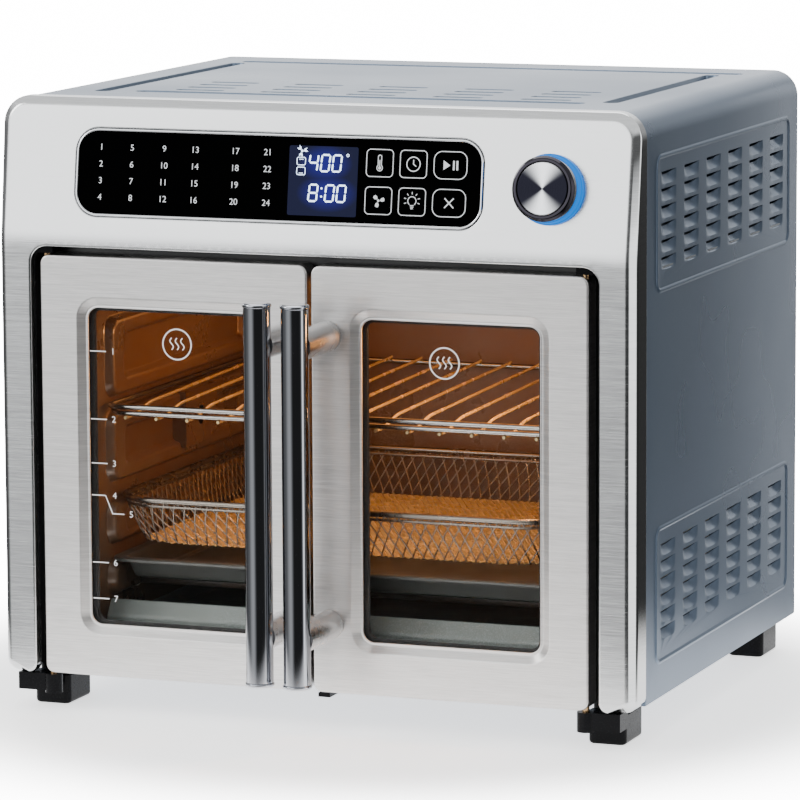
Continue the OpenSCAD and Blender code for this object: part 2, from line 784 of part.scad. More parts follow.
module right_door_skin() { color([0.80, 0.79, 0.78]) oven() door_skin(); }
module left_door_skin() { color([0.80, 0.79, 0.78]) oven() left() door_skin(); }
module right_door_frame() { color([0.12, 0.12, 0.13]) oven() door_frame(); }
module left_door_frame() { color([0.12, 0.12, 0.13]) oven() left() door_frame(); }
module right_door_glass() { color([0.60, 0.45, 0.30, 0.4]) oven() door_glass(); }
module left_door_glass() { color([0.60, 0.45, 0.30, 0.4]) oven() left() door_glass(); }
module right_door_seal() { color([0.15, 0.15, 0.15]) oven() door_seal(); }
module left_door_seal() { color([0.15, 0.15, 0.15]) oven() left() door_seal(); }
module right_handle_bar() { color([0.75, 0.76, 0.78]) oven() handle_bar(); }
module left_handle_bar() { color([0.75, 0.76, 0.78]) oven() left() handle_bar(); }
module right_handle_posts() { color([0.70, 0.70, 0.70]) oven() handle_posts(); }
module left_handle_posts() { color([0.70, 0.70, 0.70]) oven() left() handle_posts(); }
module right_handle_caps() { color([0.78, 0.79, 0.80]) oven() handle_caps(); }
module left_handle_caps() { color([0.78, 0.79, 0.80]) oven() left() handle_caps(); }
module right_hinge_pins() { color([0.70, 0.55, 0.35]) oven() hinge_pins(); }
module left_hinge_pins() { color([0.70, 0.55, 0.35]) oven() left() hinge_pins(); }

cabinet_shell();
rear_panel();
cabinet_screws();
base_pan();
front_bezel();
front_frame();
feet();
cord_gland();
panel_carrier();
control_glass();
display_module();
touch_pads();
control_board();
power_board();
encoder();
encoder_shaft();
knob();
knob_cap();
knob_light_ring();
cavity_liner();
insulation();
top_deck();
rack_guides();
heating_elements();
heater_bushes();
fan_shroud();
fan_wheel();
cooling_fan();
fan_shaft();
fan_motor();
lamp_holder();
lamp_bulb();
lamp_lens();
spit_brackets();
spit_socket();
spit_motor();
temperature_sensor();
thermal_cutout();
hinge_brackets();
door_catch();
wire_rack();
crisper_basket();
baking_pan();
crumb_tray();
left_door_skin();
left_door_frame();
left_door_glass();
left_door_seal();
left_handle_bar();
left_handle_posts();
left_handle_caps();
left_hinge_pins();
right_door_skin();
right_door_frame();
right_door_glass();
right_door_seal();
right_handle_bar();
right_handle_posts();
right_handle_caps();
right_hinge_pins();
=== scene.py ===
"""Looks of a countertop oven with two side-hinged glass doors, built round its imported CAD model.

Lengths in this file are millimetres from the oven's front: x to the right from the middle, y back
from the doors' outer face, z up from the doors' lower edge. P() turns them into the frame's metres.
"""

import math

import bmesh
import bpy
from mathutils import Matrix, Vector
from mathutils.geometry import delaunay_2d_cdt


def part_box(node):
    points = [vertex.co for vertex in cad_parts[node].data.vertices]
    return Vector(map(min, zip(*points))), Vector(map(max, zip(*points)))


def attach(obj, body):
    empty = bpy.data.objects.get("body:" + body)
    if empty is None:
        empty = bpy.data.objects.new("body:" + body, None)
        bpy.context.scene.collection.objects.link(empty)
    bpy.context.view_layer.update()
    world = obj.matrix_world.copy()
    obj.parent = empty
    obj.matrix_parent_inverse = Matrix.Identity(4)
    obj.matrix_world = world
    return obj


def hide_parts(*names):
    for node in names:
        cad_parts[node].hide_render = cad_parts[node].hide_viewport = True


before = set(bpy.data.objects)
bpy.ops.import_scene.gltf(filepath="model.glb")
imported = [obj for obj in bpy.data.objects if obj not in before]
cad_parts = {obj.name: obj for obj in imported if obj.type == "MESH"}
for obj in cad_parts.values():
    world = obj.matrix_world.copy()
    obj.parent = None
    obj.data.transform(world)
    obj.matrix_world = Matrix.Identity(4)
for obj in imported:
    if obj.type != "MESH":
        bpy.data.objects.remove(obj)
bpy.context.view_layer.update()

MM = 0.001
DOOR_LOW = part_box("right_door_skin")[0]
FRONT = Vector((0.0, DOOR_LOW[1], DOOR_LOW[2]))


def P(x, y, z):
    return FRONT + Vector((x, y, z)) * MM


def span(node):
    """A CAD node's box as ((x0, x1), (y0, y1), (z0, z1)) in this file's millimetres."""
    lo, hi = (Vector(corner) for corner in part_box(node))
    lo, hi = (lo - FRONT) / MM, (hi - FRONT) / MM
    return tuple(zip(lo, hi))


# ---------------------------------------------------------------- sizes

CABINET = span("cabinet_shell")
BEZEL = span("front_bezel")
DOOR = span("right_door_skin")
PANE = span("right_door_glass")
HALF_W = BEZEL[0][1]
TOP = BEZEL[2][1]
BEZEL_LOW = BEZEL[2][0]
TOP_R = 20.0                     # long top edges
LEAN = math.radians(8.0)
BEND_Z = 319.0                   # the panel leans back above this
OPENING = (216.0, 313.0, 12.0)   # half width, height and corner radius of the door opening
KNOB_UP = 48.0                   # from the bend up the panel to the knob's axis
GLASS_UP = (20.0, 79.0)          # the control glass's edges, up the panel from the bend
GLASS_R = 15.0                   # its corners
PANE_LAP = 7                     # how far a pane reaches past its window's edge
FEET = [(x, y) for x in (-215, 215) for y in (43, 378)]
WINDOW = (PANE[0][0] + PANE_LAP, PANE[2][0] + PANE_LAP, PANE[0][1] - PANE_LAP, PANE[2][1] - PANE_LAP)
BAR = span("right_handle_bar")
CAP = span("right_handle_caps")
POST = span("right_handle_posts")
BAR_X = sum(BAR[0]) / 2
BAR_Y = sum(BAR[1]) / 2
BAR_R = (BAR[0][1] - BAR[0][0]) / 2
POST_R = (POST[0][1] - POST[0][0]) / 2


def on_panel(x, s, depth):
    """A point on the leaning panel: s up its slope, depth into it."""
    cos, sin = math.cos(LEAN), math.sin(LEAN)
    return P(x, s * sin + depth * cos, BEND_Z + s * cos - depth * sin)


def knob_axis():
    """The knob's middle on the panel and the way its axis points out."""
    x = sum(span("knob")[0]) / 2
    centre = on_panel(x, KNOB_UP, 0)
    return centre, (on_panel(x, KNOB_UP, -1) - centre).normalized()


# ---------------------------------------------------------------- outlines

def arc(cx, cy, r, a0, a1, n):
    steps = [math.radians(a0 + (a1 - a0) * i / n) for i in range(n + 1)]
    return [(cx + r * math.cos(a), cy + r * math.sin(a)) for a in steps]


def between(a, b, n):
    """n - 1 points that cut the stretch from a to b into n."""
    return [(a[0] + (b[0] - a[0]) * i / n, a[1] + (b[1] - a[1]) * i / n) for i in range(1, n)]


def rrect(x0, y0, x1, y1, r, out=0.0, n=8, cuts=(1, 1)):
    """Rounded rectangle, anticlockwise, with the same points for every outward offset `out`."""
    r = max(r + out, 0.02)
    x0, y0, x1, y1 = x0 - out, y0 - out, x1 + out, y1 + out
    corners = ((x1 - r, y0 + r, -90), (x1 - r, y1 - r, 0), (x0 + r, y1 - r, 90), (x0 + r, y0 + r, 180))
    sides = [arc(cx, cy, r, a, a + 90, n) for cx, cy, a in corners]
    points = []
    for i, side in enumerate(sides):
        points += side
        points += between(side[-1], sides[(i + 1) % 4][0], cuts[1 - i % 2])
    return points


def circle(cx, cy, r, n=48):
    return arc(cx, cy, r, 0, 360 - 360 / n, n - 1)


def rounded_path(corners, step=6.0, n=10):
    """A closed path through corners (x, y, radius, value): points, inward normals and values.

    The path goes anticlockwise, and value runs evenly from one corner to the next."""
    count = len(corners)
    nodes = []
    for i, (x, y, r, value) in enumerate(corners):
        here = Vector((x, y))
        back = (Vector(corners[i - 1][:2]) - here).normalized()
        ahead = (Vector(corners[(i + 1) % count][:2]) - here).normalized()
        half = back.angle(ahead) / 2
        reach = r / math.tan(half)
        centre = here + (back + ahead).normalized() * (r / math.sin(half))
        a0 = here + back * reach
        a1 = here + ahead * reach
        turn = 1 if back.x * ahead.y - back.y * ahead.x < 0 else -1
        nodes.append((a0, a1, centre, turn, value))
    points, normals, values = [], [], []
    for i, (a0, a1, centre, turn, value) in enumerate(nodes):
        for k in range(n + 1):
            d0, d1 = a0 - centre, a1 - centre
            swing = d0.angle_signed(d1) * k / n
            d = d0.copy()
            d.rotate(Matrix.Rotation(-swing, 2))
            points.append(tuple(centre + d))
            normals.append(tuple(-d.normalized() * turn))
            values.append(value)
        b0, _, _, _, next_value = nodes[(i + 1) % count]
        line = b0 - a1
        inward = Vector((-line.y, line.x)).normalized()
        cuts = max(1, int(line.length / step))
        for k in range(1, cuts):
            points.append(tuple(a1 + line * k / cuts))
            normals.append(tuple(inward))
            values.append(value + (next_value - value) * k / cuts)
    return points, normals, values


def inside(point, ring):
    x, y = point
    hit = False
    for (x0, y0), (x1, y1) in zip(ring, ring[1:] + ring[:1]):
        if (y0 > y) != (y1 > y) and x < (x1 - x0) * (y - y0) / (y1 - y0) + x0:
            hit = not hit
    return hit


# ---------------------------------------------------------------- mesh building

class Mould:
    """A pressed or moulded skin. place(x, y, depth) gives the point `depth` below its face."""

    def __init__(self, place, bm=None):
        self.bm = bm or bmesh.new()
        self.place = place
        self.flat = {}

    def vert(self, point, depth):
        v = self.bm.verts.new(self.place(point[0], point[1], depth))
        self.flat[v] = tuple(point[:2])
        return v

    def ring(self, points, depth=0.0):
        return [self.vert(p, depth) for p in points]

    def strip(self, outer, inner, closed=True):
        count = len(outer)
        for i in range(count if closed else count - 1):
            j = (i + 1) % count
            quad = [outer[i], outer[j], inner[j], inner[i]]
            if len(set(quad)) > 2:
                self.bm.faces.new([v for k, v in enumerate(quad) if v is not quad[k - 1]])

    def rings(self, outline, steps):
        """Strips between outlines at (outward offset, depth) steps, outermost first; gives first and last."""
        made = [self.ring(outline(out), depth) for out, depth in steps]
        for a, b in zip(made, made[1:]):
            self.strip(a, b)
        return made[0], made[-1]

    def fill(self, outer, holes=(), extra=()):
        """Triangles between a ring and the rings of its holes."""
        rings = [outer, *holes]
        verts = [v for ring in rings for v in ring]
        edges, base = [], 0
        for ring in rings:
            edges += [(base + i, base + (i + 1) % len(ring)) for i in range(len(ring))]
            base += len(ring)
        flats = [[self.flat[v] for v in ring] for ring in rings]
        boxes = [(min(p[0] for p in f), min(p[1] for p in f), max(p[0] for p in f), max(p[1] for p in f))
                 for f in flats]
        for p in extra:
            if inside(p, flats[0]) and not any(inside(p, f) for f in flats[1:]):
                verts.append(self.vert(p, 0.0))
        coords = [Vector(self.flat[v]) for v in verts]
        _, _, faces, came_from, _, _ = delaunay_2d_cdt(coords, edges, [], 1, 1e-6)
        for face in faces:
            corners = [verts[came_from[i][0]] for i in face]
            flat = [self.flat[v] for v in corners]
            mid = (sum(p[0] for p in flat) / len(flat), sum(p[1] for p in flat) / len(flat))
            if any(b[0] < mid[0] < b[2] and b[1] < mid[1] < b[3] and inside(mid, f)
                   for b, f in zip(boxes[1:], flats[1:])):
                continue
            area = sum(p[0] * q[1] - q[0] * p[1] for p, q in zip(flat, flat[1:] + flat[:1]))
            self.bm.faces.new(corners if area > 0 else corners[::-1])


def prism(bm, place, outline, depth, round_top=0.0, round_low=0.0, steps=4):
    """A closed block from an outline(out): `depth` thick, with rounded edges."""
    mould = Mould(place, bm)
    path = [(-round_top * (1 - math.sin(a)), round_top * (1 - math.cos(a)))
            for a in (math.pi / 2 * i / steps for i in range(steps + 1))] if round_top else [(0, 0)]
    low = [(-round_low * (1 - math.cos(a)), depth - round_low * (1 - math.sin(a)))
           for a in (math.pi / 2 * i / steps for i in range(steps + 1))] if round_low else [(0, depth)]
    made = [mould.ring(outline(out), d) for out, d in path + low]
    for inner, outer in zip(made, made[1:]):
        mould.strip(outer, inner)
    mould.fill(made[0])
    faces = set(bm.faces)
    mould.fill(made[-1])
    for face in set(bm.faces) - faces:
        face.normal_flip()


def lathe(bm, profile, origin, axis, n=96):
    """Turns (radius, height) points, in mm, about an axis through origin, both in frame metres."""
    turn = Vector((0, 0, 1)).rotation_difference(Vector(axis)).to_matrix()
    rings = []
    for r, h in profile:
        if r < 1e-6:
            rings.append([bm.verts.new(origin + turn @ Vector((0, 0, h * MM)))])
            continue
        rings.append([bm.verts.new(origin + turn @ (Vector((r * math.cos(a), r * math.sin(a), h)) * MM))
                      for a in (2 * math.pi * i / n for i in range(n))])
    for a, b in zip(rings, rings[1:]):
        for i in range(n):
            j = (i + 1) % n
            quad = [a[i % len(a)], a[j % len(a)], b[j % len(b)], b[i % len(b)]]
            quad = [v for k, v in enumerate(quad) if v is not quad[k - 1]]
            if len(quad) > 2:
                bm.faces.new(quad)


def round_off(points, r, n=4):
    """A (radius, height) profile with each inner corner rounded by r."""
    out = [points[0]]
    for before, here, after in zip(points, points[1:], points[2:]):
        h = Vector(here)
        a, b = Vector(before) - h, Vector(after) - h
        cut = min(r, a.length / 2.01, b.length / 2.01)
        start, end = h + a.normalized() * cut, h + b.normalized() * cut
        out += [tuple((start.lerp(h, t)).lerp(h.lerp(end, t), t)) for t in (i / n for i in range(n + 1))]
    return out + [points[-1]]


def tube(bm, path, radius, sides=10, closed=False):
    """A round wire of that radius, in mm, along a path of frame points."""
    count = len(path)
    tangents = []
    for i in range(count):
        a = path[i - 1] if i or closed else path[0]
        b = path[(i + 1) % count] if i < count - 1 or closed else path[-1]
        tangents.append((b - a).normalized())
    normal = tangents[0].orthogonal().normalized()
    rings = []
    for i, (point, tangent) in enumerate(zip(path, tangents)):
        if i:
            normal = tangents[i - 1].rotation_difference(tangent) @ normal
        side = tangent.cross(normal)
        rings.append([bm.verts.new(point + (normal * math.cos(a) + side * math.sin(a)) * radius * MM)
                      for a in (2 * math.pi * k / sides for k in range(sides))])
    for i in range(count if closed else count - 1):
        a, b = rings[i], rings[(i + 1) % count]
        shift = 0
        if i == count - 1:
            shift = min(range(sides), key=lambda s: (a[0].co - b[s].co).length)
        for k in range(sides):
            m = (k + 1) % sides
            bm.faces.new([a[k], a[m], b[(m + shift) % sides], b[(k + shift) % sides]])
    if not closed:
        bm.faces.new(rings[0][::-1])
        bm.faces.new(rings[-1])


def bent(corners, r, n=6):
    """A path of frame points through corners, in mm, with bends of radius about r."""
    pts = [Vector(c) for c in corners]
    out = [pts[0]]
    for before, here, after in zip(pts, pts[1:], pts[2:]):
        a, b = before - here, after - here
        cut = min(r, a.length / 2.01, b.length / 2.01)
        start, end = here + a.normalized() * cut, here + b.normalized() * cut
        out += [start.lerp(here, t).lerp(here.lerp(end, t), t) for t in (i / n for i in range(n + 1))]
    return [P(*p) for p in out + [pts[-1]]]


def mirrored(bm):
    """The same mesh on the other side of x = 0."""
    copy = bm.copy()
    for v in copy.verts:
        v.co.x = -v.co.x
    bmesh.ops.reverse_faces(copy, faces=copy.faces[:])
    return copy


def piece(name, bm, material, body, slot, replaces=(), skin=0.0, sharp=32.0, weld=0.00002, soft=True):
    """Turns a mesh into a piece of the oven. skin is its sheet's thickness in mm."""
    bmesh.ops.remove_doubles(bm, verts=bm.verts[:], dist=weld)
    loose = [v for v in bm.verts if not v.link_faces]
    bmesh.ops.delete(bm, geom=loose, context="VERTS")
    mesh = bpy.data.meshes.new(name)
    bm.to_mesh(mesh)
    bm.free()
    ob = bpy.data.objects.new(name, mesh)
    bpy.context.scene.collection.objects.link(ob)
    if skin:
        thick = ob.modifiers.new("sheet", "SOLIDIFY")
        thick.thickness = skin * MM
        thick.offset = -1
        thick.use_even_offset = False
        bpy.context.view_layer.update()
        done = bpy.data.meshes.new_from_object(ob.evaluated_get(bpy.context.evaluated_depsgraph_get()))
        ob.modifiers.clear()
        ob.data = done
        mesh = done
    mesh.materials.clear()
    mesh.materials.append(material)
    if soft:
        mesh.shade_smooth()
        mesh.set_sharp_from_angle(angle=math.radians(sharp))
        even = ob.modifiers.new("normals", "WEIGHTED_NORMAL")
        even.keep_sharp = True
        even.weight = 60
    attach(ob, body)
    if replaces:
        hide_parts(*replaces)
    return ob


# ---------------------------------------------------------------- materials

def add_node(tree, kind, inputs=None, **settings):
    """A new node, its inputs linked to a socket or set to a value."""
    node = tree.nodes.new(kind)
    for key, value in settings.items():
        setattr(node, key, value)
    for key, value in (inputs or {}).items():
        if isinstance(value, bpy.types.NodeSocket):
            tree.links.new(value, node.inputs[key])
        else:
            node.inputs[key].default_value = value
    return node


class Finish:
    """A node material round one Principled shader, in the frame's metres."""

    def __init__(self, name, colour, metal=0.0, rough=0.5, **direct):
        self.material = bpy.data.materials.new(name)
        self.material.use_nodes = True
        self.tree = self.material.node_tree
        self.shader = self.tree.nodes["Principled BSDF"]
        self.out = self.tree.nodes["Material Output"]
        self.set("Base Color", (*colour, 1.0))
        self.set("Metallic", metal)
        self.set("Roughness", rough)
        for socket, value in direct.items():
            self.set(socket.replace("_", " "), value)
        self.where = self.node("ShaderNodeTexCoord").outputs["Object"]

    def set(self, socket, value):
        self.shader.inputs[socket].default_value = value

    def node(self, kind, inputs=None, **settings):
        return add_node(self.tree, kind, inputs, **settings)

    def vector(self, op, a, b=None, out=0):
        inputs = {0: a} if b is None else {0: a, 1: b}
        return self.node("ShaderNodeVectorMath", inputs, operation=op).outputs[out]

    def link(self, output, socket):
        self.tree.links.new(output, self.shader.inputs[socket])

    def noise(self, scale, stretch=(1, 1, 1), detail=3.0, rough=0.55, offset=(0, 0, 0)):
        """Noise with `scale` features a metre, times stretch along each axis."""
        mapped = self.node("ShaderNodeMapping", {"Vector": self.where, "Scale": stretch, "Location": offset})
        return self.node("ShaderNodeTexNoise", {"Vector": mapped.outputs[0], "Scale": scale,
                                                "Detail": detail, "Roughness": rough}).outputs["Fac"]

    def ramp(self, value, low, high, out0=0.0, out1=1.0):
        return self.node("ShaderNodeMapRange", {"Value": value, "From Min": low, "From Max": high,
                                                "To Min": out0, "To Max": out1}).outputs[0]

    def blend(self, factor, a, b, mode="MIX"):
        mix = self.node("ShaderNodeMix", data_type="RGBA", blend_type=mode)
        for key, value in ((0, factor), (6, a), (7, b)):
            if isinstance(value, bpy.types.NodeSocket):
                self.tree.links.new(value, mix.inputs[key])
            elif key == 0:
                mix.inputs[0].default_value = value
            else:
                mix.inputs[key].default_value = (*value, 1.0)
        return mix.outputs[2]

    def math(self, op, a, b=0.0):
        node = self.node("ShaderNodeMath", operation=op)
        for i, value in enumerate((a, b)):
            if isinstance(value, bpy.types.NodeSocket):
                self.tree.links.new(value, node.inputs[i])
            else:
                node.inputs[i].default_value = value
        return node.outputs[0]

    def colour(self, factor, a, b):
        self.link(self.blend(factor, a, b), "Base Color")

    def roughness(self, value, low, high, r0, r1):
        self.link(self.ramp(value, low, high, r0, r1), "Roughness")

    def bump(self, height, distance, strength=1.0, over=None):
        inputs = {"Height": height, "Distance": distance * MM, "Strength": strength}
        if over:
            inputs["Normal"] = over
        normal = self.node("ShaderNodeBump", inputs).outputs[0]
        self.link(normal, "Normal")
        return normal


def brushed(name, colour, rough=0.30, grain=(32, 32, 1300), tone=0.16, cast=0.04, stretch=0.7, rim=None):
    """Stainless sheet with a fine straight grain, slow clouding and a slightly wavy face.

    Past rim, (half width, height) in frame metres, its edges are polished."""
    f = Finish(name, colour, 1.0, rough, Anisotropic=stretch, Anisotropic_Rotation=0.25)
    f.link(f.node("ShaderNodeTangent", direction_type="RADIAL", axis="Z").outputs[0], "Tangent")
    streak = f.noise(1.0, grain, 6.0, 0.62)
    fine = f.noise(1.0, tuple(g * 2.6 for g in grain), 2.0, 0.5, (3, 5, 7))
    cloud = f.noise(9.0, (1, 1, 1.6), 2.0, 0.5)
    both = f.math("ADD", f.math("MULTIPLY", streak, 0.65), f.math("MULTIPLY", fine, 0.35))
    dark = tuple(c * (1 - tone) for c in colour)
    light = tuple(min(1.0, c * (1 + tone)) for c in colour)
    grained = f.blend(f.ramp(both, 0.36, 0.64), dark, light)
    warm = tuple(c * k for c, k in zip(colour, (1.0, 1 - cast * 0.6, 1 - cast * 1.4)))
    f.link(f.blend(f.ramp(cloud, 0.35, 0.7, 0.0, 0.35), grained, warm), "Base Color")
    wave = f.bump(f.noise(8.0, (1, 1, 0.7), 1.0), 0.35, 0.6)
    if rim:
        way = f.node("ShaderNodeSeparateXYZ", {0: f.where})
        edge = f.math("MAXIMUM", f.ramp(f.math("ABSOLUTE", way.outputs["X"]), rim[0], rim[0] + 0.0006),
                      f.ramp(way.outputs["Z"], rim[1], rim[1] + 0.0006))
        grained = f.ramp(both, 0.3, 0.7, rough - 0.07, rough + 0.08)
        f.link(f.node("ShaderNodeMix", {0: edge, 2: grained, 3: 0.09}).outputs[0], "Roughness")
        f.bump(f.math("MULTIPLY", both, f.math("SUBTRACT", 1.0, edge)), 0.018, 0.55, wave)
    else:
        f.roughness(both, 0.3, 0.7, rough - 0.07, rough + 0.08)
        f.bump(both, 0.018, 0.55, wave)
    return f.material


def polished(name, colour, rough=0.05, smear=0.06, metal=1.0):
    f = Finish(name, colour, metal, rough)
    f.roughness(f.noise(45.0, (1, 1, 0.5), 4.0), 0.35, 0.75, rough, rough + smear)
    f.colour(f.noise(14.0), tuple(c * 0.94 for c in colour), colour)
    f.bump(f.noise(160.0), 0.004, 0.4)
    return f.material


def painted(name, colour, rough=0.36, metal=0.0, peel=0.02, fleck=0.08, coat=0.25, shine=0.5):
    """Sprayed paint: orange peel, a faint metallic fleck and slight tone drift."""
    f = Finish(name, colour, metal, rough, Coat_Weight=coat, Coat_Roughness=0.22, Specular_IOR_Level=shine)
    drift = f.noise(6.0, detail=2.0)
    flecks = f.noise(2600.0, detail=1.0)
    dark = tuple(c * (1 - fleck) for c in colour)
    light = tuple(c * (1 + fleck) for c in colour)
    base = f.blend(f.ramp(flecks, 0.35, 0.65), dark, light)
    f.link(f.blend(f.ramp(drift, 0.3, 0.7, 0.0, 0.25), base, tuple(c * 1.08 for c in colour)), "Base Color")
    f.roughness(drift, 0.3, 0.7, rough - 0.04, rough + 0.05)
    f.bump(f.noise(420.0, detail=2.0), peel, 0.5)
    return f.material


def moulded(name, colour, rough=0.42, texture=900.0, depth=0.02, shine=0.5):
    f = Finish(name, colour, 0.0, rough, Specular_IOR_Level=shine)
    grain = f.noise(texture, detail=2.0)
    f.colour(f.noise(30.0), colour, tuple(c * 1.6 + 0.001 for c in colour))
    f.roughness(grain, 0.3, 0.7, rough - 0.06, rough + 0.10)
    f.bump(grain, depth, 0.6)
    return f.material


def enamel(name, colour, stain, rough=0.38, spots=0.5):
    """Fired enamel with fine speckle and brown heat stains."""
    f = Finish(name, colour, 0.15, rough, Coat_Weight=0.3, Coat_Roughness=0.25)
    speck = f.noise(1500.0, detail=1.0)
    cloud = f.noise(11.0, detail=5.0, rough=0.6)
    pale = tuple(min(1, c * 2.2 + 0.05) for c in colour)
    base = f.blend(f.ramp(speck, 0.52, 0.60, 0.0, spots), colour, pale)
    f.link(f.blend(f.ramp(cloud, 0.35, 0.68), base, stain), "Base Color")
    f.roughness(cloud, 0.3, 0.7, rough - 0.08, rough + 0.14)
    f.bump(f.noise(500.0), 0.03, 0.5)
    return f.material


def clear_glass(name, tint, rough=0.0):
    """Glass that lamps shine through."""
    f = Finish(name, tint, 0.0, rough, Transmission_Weight=1.0, IOR=1.12)
    path = f.node("ShaderNodeLightPath")
    clear = f.node("ShaderNodeBsdfTransparent", {"Color": (*tint, 1.0)})
    mix = f.node("ShaderNodeMixShader", {0: path.outputs["Is Shadow Ray"]})
    f.tree.links.new(f.shader.outputs[0], mix.inputs[1])
    f.tree.links.new(clear.outputs[0], mix.inputs[2])
    f.tree.links.new(mix.outputs[0], f.out.inputs["Surface"])
    f.roughness(f.noise(30.0, detail=3.0), 0.45, 0.9, rough, rough + 0.03)
    return f.material


def glowing(name, colour, light, strength, rough=0.3):
    f = Finish(name, colour, 0.0, rough, Emission_Strength=strength, Specular_IOR_Level=0.1)
    f.set("Emission Color", (*light, 1.0))
    f.colour(f.noise(200.0), colour, tuple(c * 0.9 for c in colour))
    return f.material


STEEL = brushed("brushed_steel_door", (0.66, 0.645, 0.63), rough=0.36)
PANEL_STEEL = brushed("brushed_steel_panel", (0.66, 0.665, 0.665), rough=0.22, tone=0.1, cast=0.0,
                      stretch=0.2, rim=(HALF_W * MM - 0.0052, P(0, 0, TOP - 5.2).z))
CHROME = polished("chrome", (0.78, 0.79, 0.81), 0.04)
BAR_CHROME = polished("dark_chrome", (0.42, 0.43, 0.46), 0.05)
SATIN = polished("satin_steel", (0.62, 0.62, 0.625), 0.22, 0.10)
PAINT = painted("blue_grey_paint", (0.13, 0.172, 0.235), 0.3, 0.6, 0.02, 0.08, 0.0)
BLACK = moulded("black_plastic", (0.003, 0.003, 0.0035), 0.22, 700.0, 0.008, 0.06)
DARK = painted("black_enamel", (0.018, 0.018, 0.019), 0.45, 0.0)
ZINC = painted("zinc_sheet", (0.42, 0.43, 0.44), 0.42, 0.8, 0.02, 0.15, 0.0)
GLOSS = painted("gloss_black", (0.0004, 0.0004, 0.0005), 0.08, 0.0, 0.001, 0.02, 0.0, 0.003)
GLASS = clear_glass("door_glass", (0.97, 0.96, 0.94))
LAMP_GLASS = clear_glass("lamp_glass", (1.0, 0.96, 0.88), 0.15)
CHAMBER_ENAMEL = enamel("chamber_enamel", (0.11, 0.07, 0.042), (0.13, 0.065, 0.03), 0.28)
PAN_COATING = enamel("pan_coating", (0.075, 0.085, 0.085), (0.06, 0.06, 0.055), 0.33, 0.12)
TRAY_ENAMEL = enamel("tray_enamel", (0.17, 0.20, 0.20), (0.20, 0.23, 0.22), 0.4, 0.8)
WIRE = polished("rack_wire", (0.45, 0.44, 0.43), 0.10, 0.08)
# Lit copy of the rack wire: its golden colour is painted lamplight.
PAINTED_LAMPLIGHT_WIRE = polished("wire_painted_lamplight", (0.78, 0.61, 0.32), 0.22, 0.10, 0.6)
MESH_WIRE = polished("basket_wire", (0.30, 0.27, 0.24), 0.22, 0.12)
SHEATH = enamel("element_sheath", (0.05, 0.045, 0.04), (0.09, 0.05, 0.03), 0.6, 0.2)
RUBBER = moulded("seal_rubber", (0.015, 0.015, 0.016), 0.6, 1500.0, 0.03)
CERAMIC = painted("ceramic", (0.78, 0.75, 0.68), 0.3, 0.0, 0.02, 0.02, 0.3)
WOOL = moulded("mineral_wool", (0.55, 0.47, 0.30), 0.95, 260.0, 0.8)
BOARD = painted("circuit_board", (0.012, 0.09, 0.035), 0.35, 0.0, 0.01, 0.1, 0.4)
BRONZE = polished("bronze", (0.52, 0.34, 0.18), 0.2, 0.1)
COPPER = polished("copper_pad", (0.70, 0.42, 0.22), 0.3, 0.1)
# Panel print with a faint glow though no lamp lights it: painted light.
PRINT_PAINTED_GLOW = glowing("white_print", (0.85, 0.86, 0.88), (0.9, 0.95, 1.0), 0.35)
# Door-glass print with a faint glow, though it is no lamp: painted light.
MARK_PAINTED_GLOW = glowing("window_print", (0.85, 0.85, 0.84), (1.0, 1.0, 1.0), 0.25, 0.5)
DIGITS = glowing("display_digits", (0.7, 0.8, 1.0), (0.62, 0.78, 1.0), 3.0, 0.3)
RING = glowing("blue_ring", (0.001, 0.03, 0.06), (0.0, 0.25, 1.0), 0.9, 0.12)


def spun_disc_fans_painted():
    """Face-turned aluminium: fine rings, with fan-shaped highlights and shade painted into the base colour.
    """
    f = Finish("spun_aluminium", (0.74, 0.75, 0.78), 1.0, 0.26, Anisotropic=0.85)
    f.link(f.node("ShaderNodeTangent", direction_type="RADIAL", axis="Y").outputs[0], "Tangent")
    lo, hi = (Vector(c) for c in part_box("knob_cap"))
    away = f.vector("SUBTRACT", f.where, (lo + hi) / 2)
    reach = f.vector("LENGTH", away, out="Value")
    turns = f.math("MULTIPLY", reach, 3800.0)
    rings = f.node("ShaderNodeTexNoise", {"W": turns, "Scale": 1.0, "Detail": 2.0},
                   noise_dimensions="1D").outputs["Fac"]
    turned = f.blend(f.ramp(rings, 0.3, 0.7), (0.78, 0.79, 0.81), (0.92, 0.93, 0.95))
    # Painted highlight and shade: bright fans above and below the middle, dark fans to either side, set by
    # angle round the axis.
    way = f.node("ShaderNodeSeparateXYZ", {0: away})
    up = f.math("DIVIDE", way.outputs["Z"], math.cos(LEAN))
    across = way.outputs["X"]
    square = f.math("SUBTRACT", f.math("MULTIPLY", up, up), f.math("MULTIPLY", across, across))
    fan = f.math("DIVIDE", square, f.math("ADD", f.math("MULTIPLY", reach, reach), 1e-8))
    shade = f.math("POWER", f.ramp(fan, -0.45, 1.0), 1.7)
    f.link(f.blend(shade, (0.012, 0.012, 0.018), turned), "Base Color")
    f.roughness(rings, 0.3, 0.7, 0.2, 0.32)
    f.bump(rings, 0.01, 0.5)
    return f.material


SPUN_WITH_PAINTED_FANS = spun_disc_fans_painted()


def knob_chrome():
    """Bright chrome side; the front rim is coloured near black, a painted dark reflection."""
    f = Finish("knob_chrome", (0.7, 0.72, 0.75), 1.0, 0.05)
    centre, out = knob_axis()
    away = f.vector("SUBTRACT", f.where, centre)
    height = f.vector("DOT_PRODUCT", away, out, "Value")
    # Painted reflection: past 15.2 mm out along the axis the chrome turns near black, standing in for the
    # dark room it mirrors.
    f.colour(f.ramp(height, 15.2 * MM, 15.6 * MM), (0.7, 0.72, 0.75), (0.028, 0.026, 0.032))
    f.roughness(f.noise(45.0), 0.35, 0.75, 0.04, 0.07)
    f.bump(f.noise(160.0), 0.004, 0.4)
    return f.material


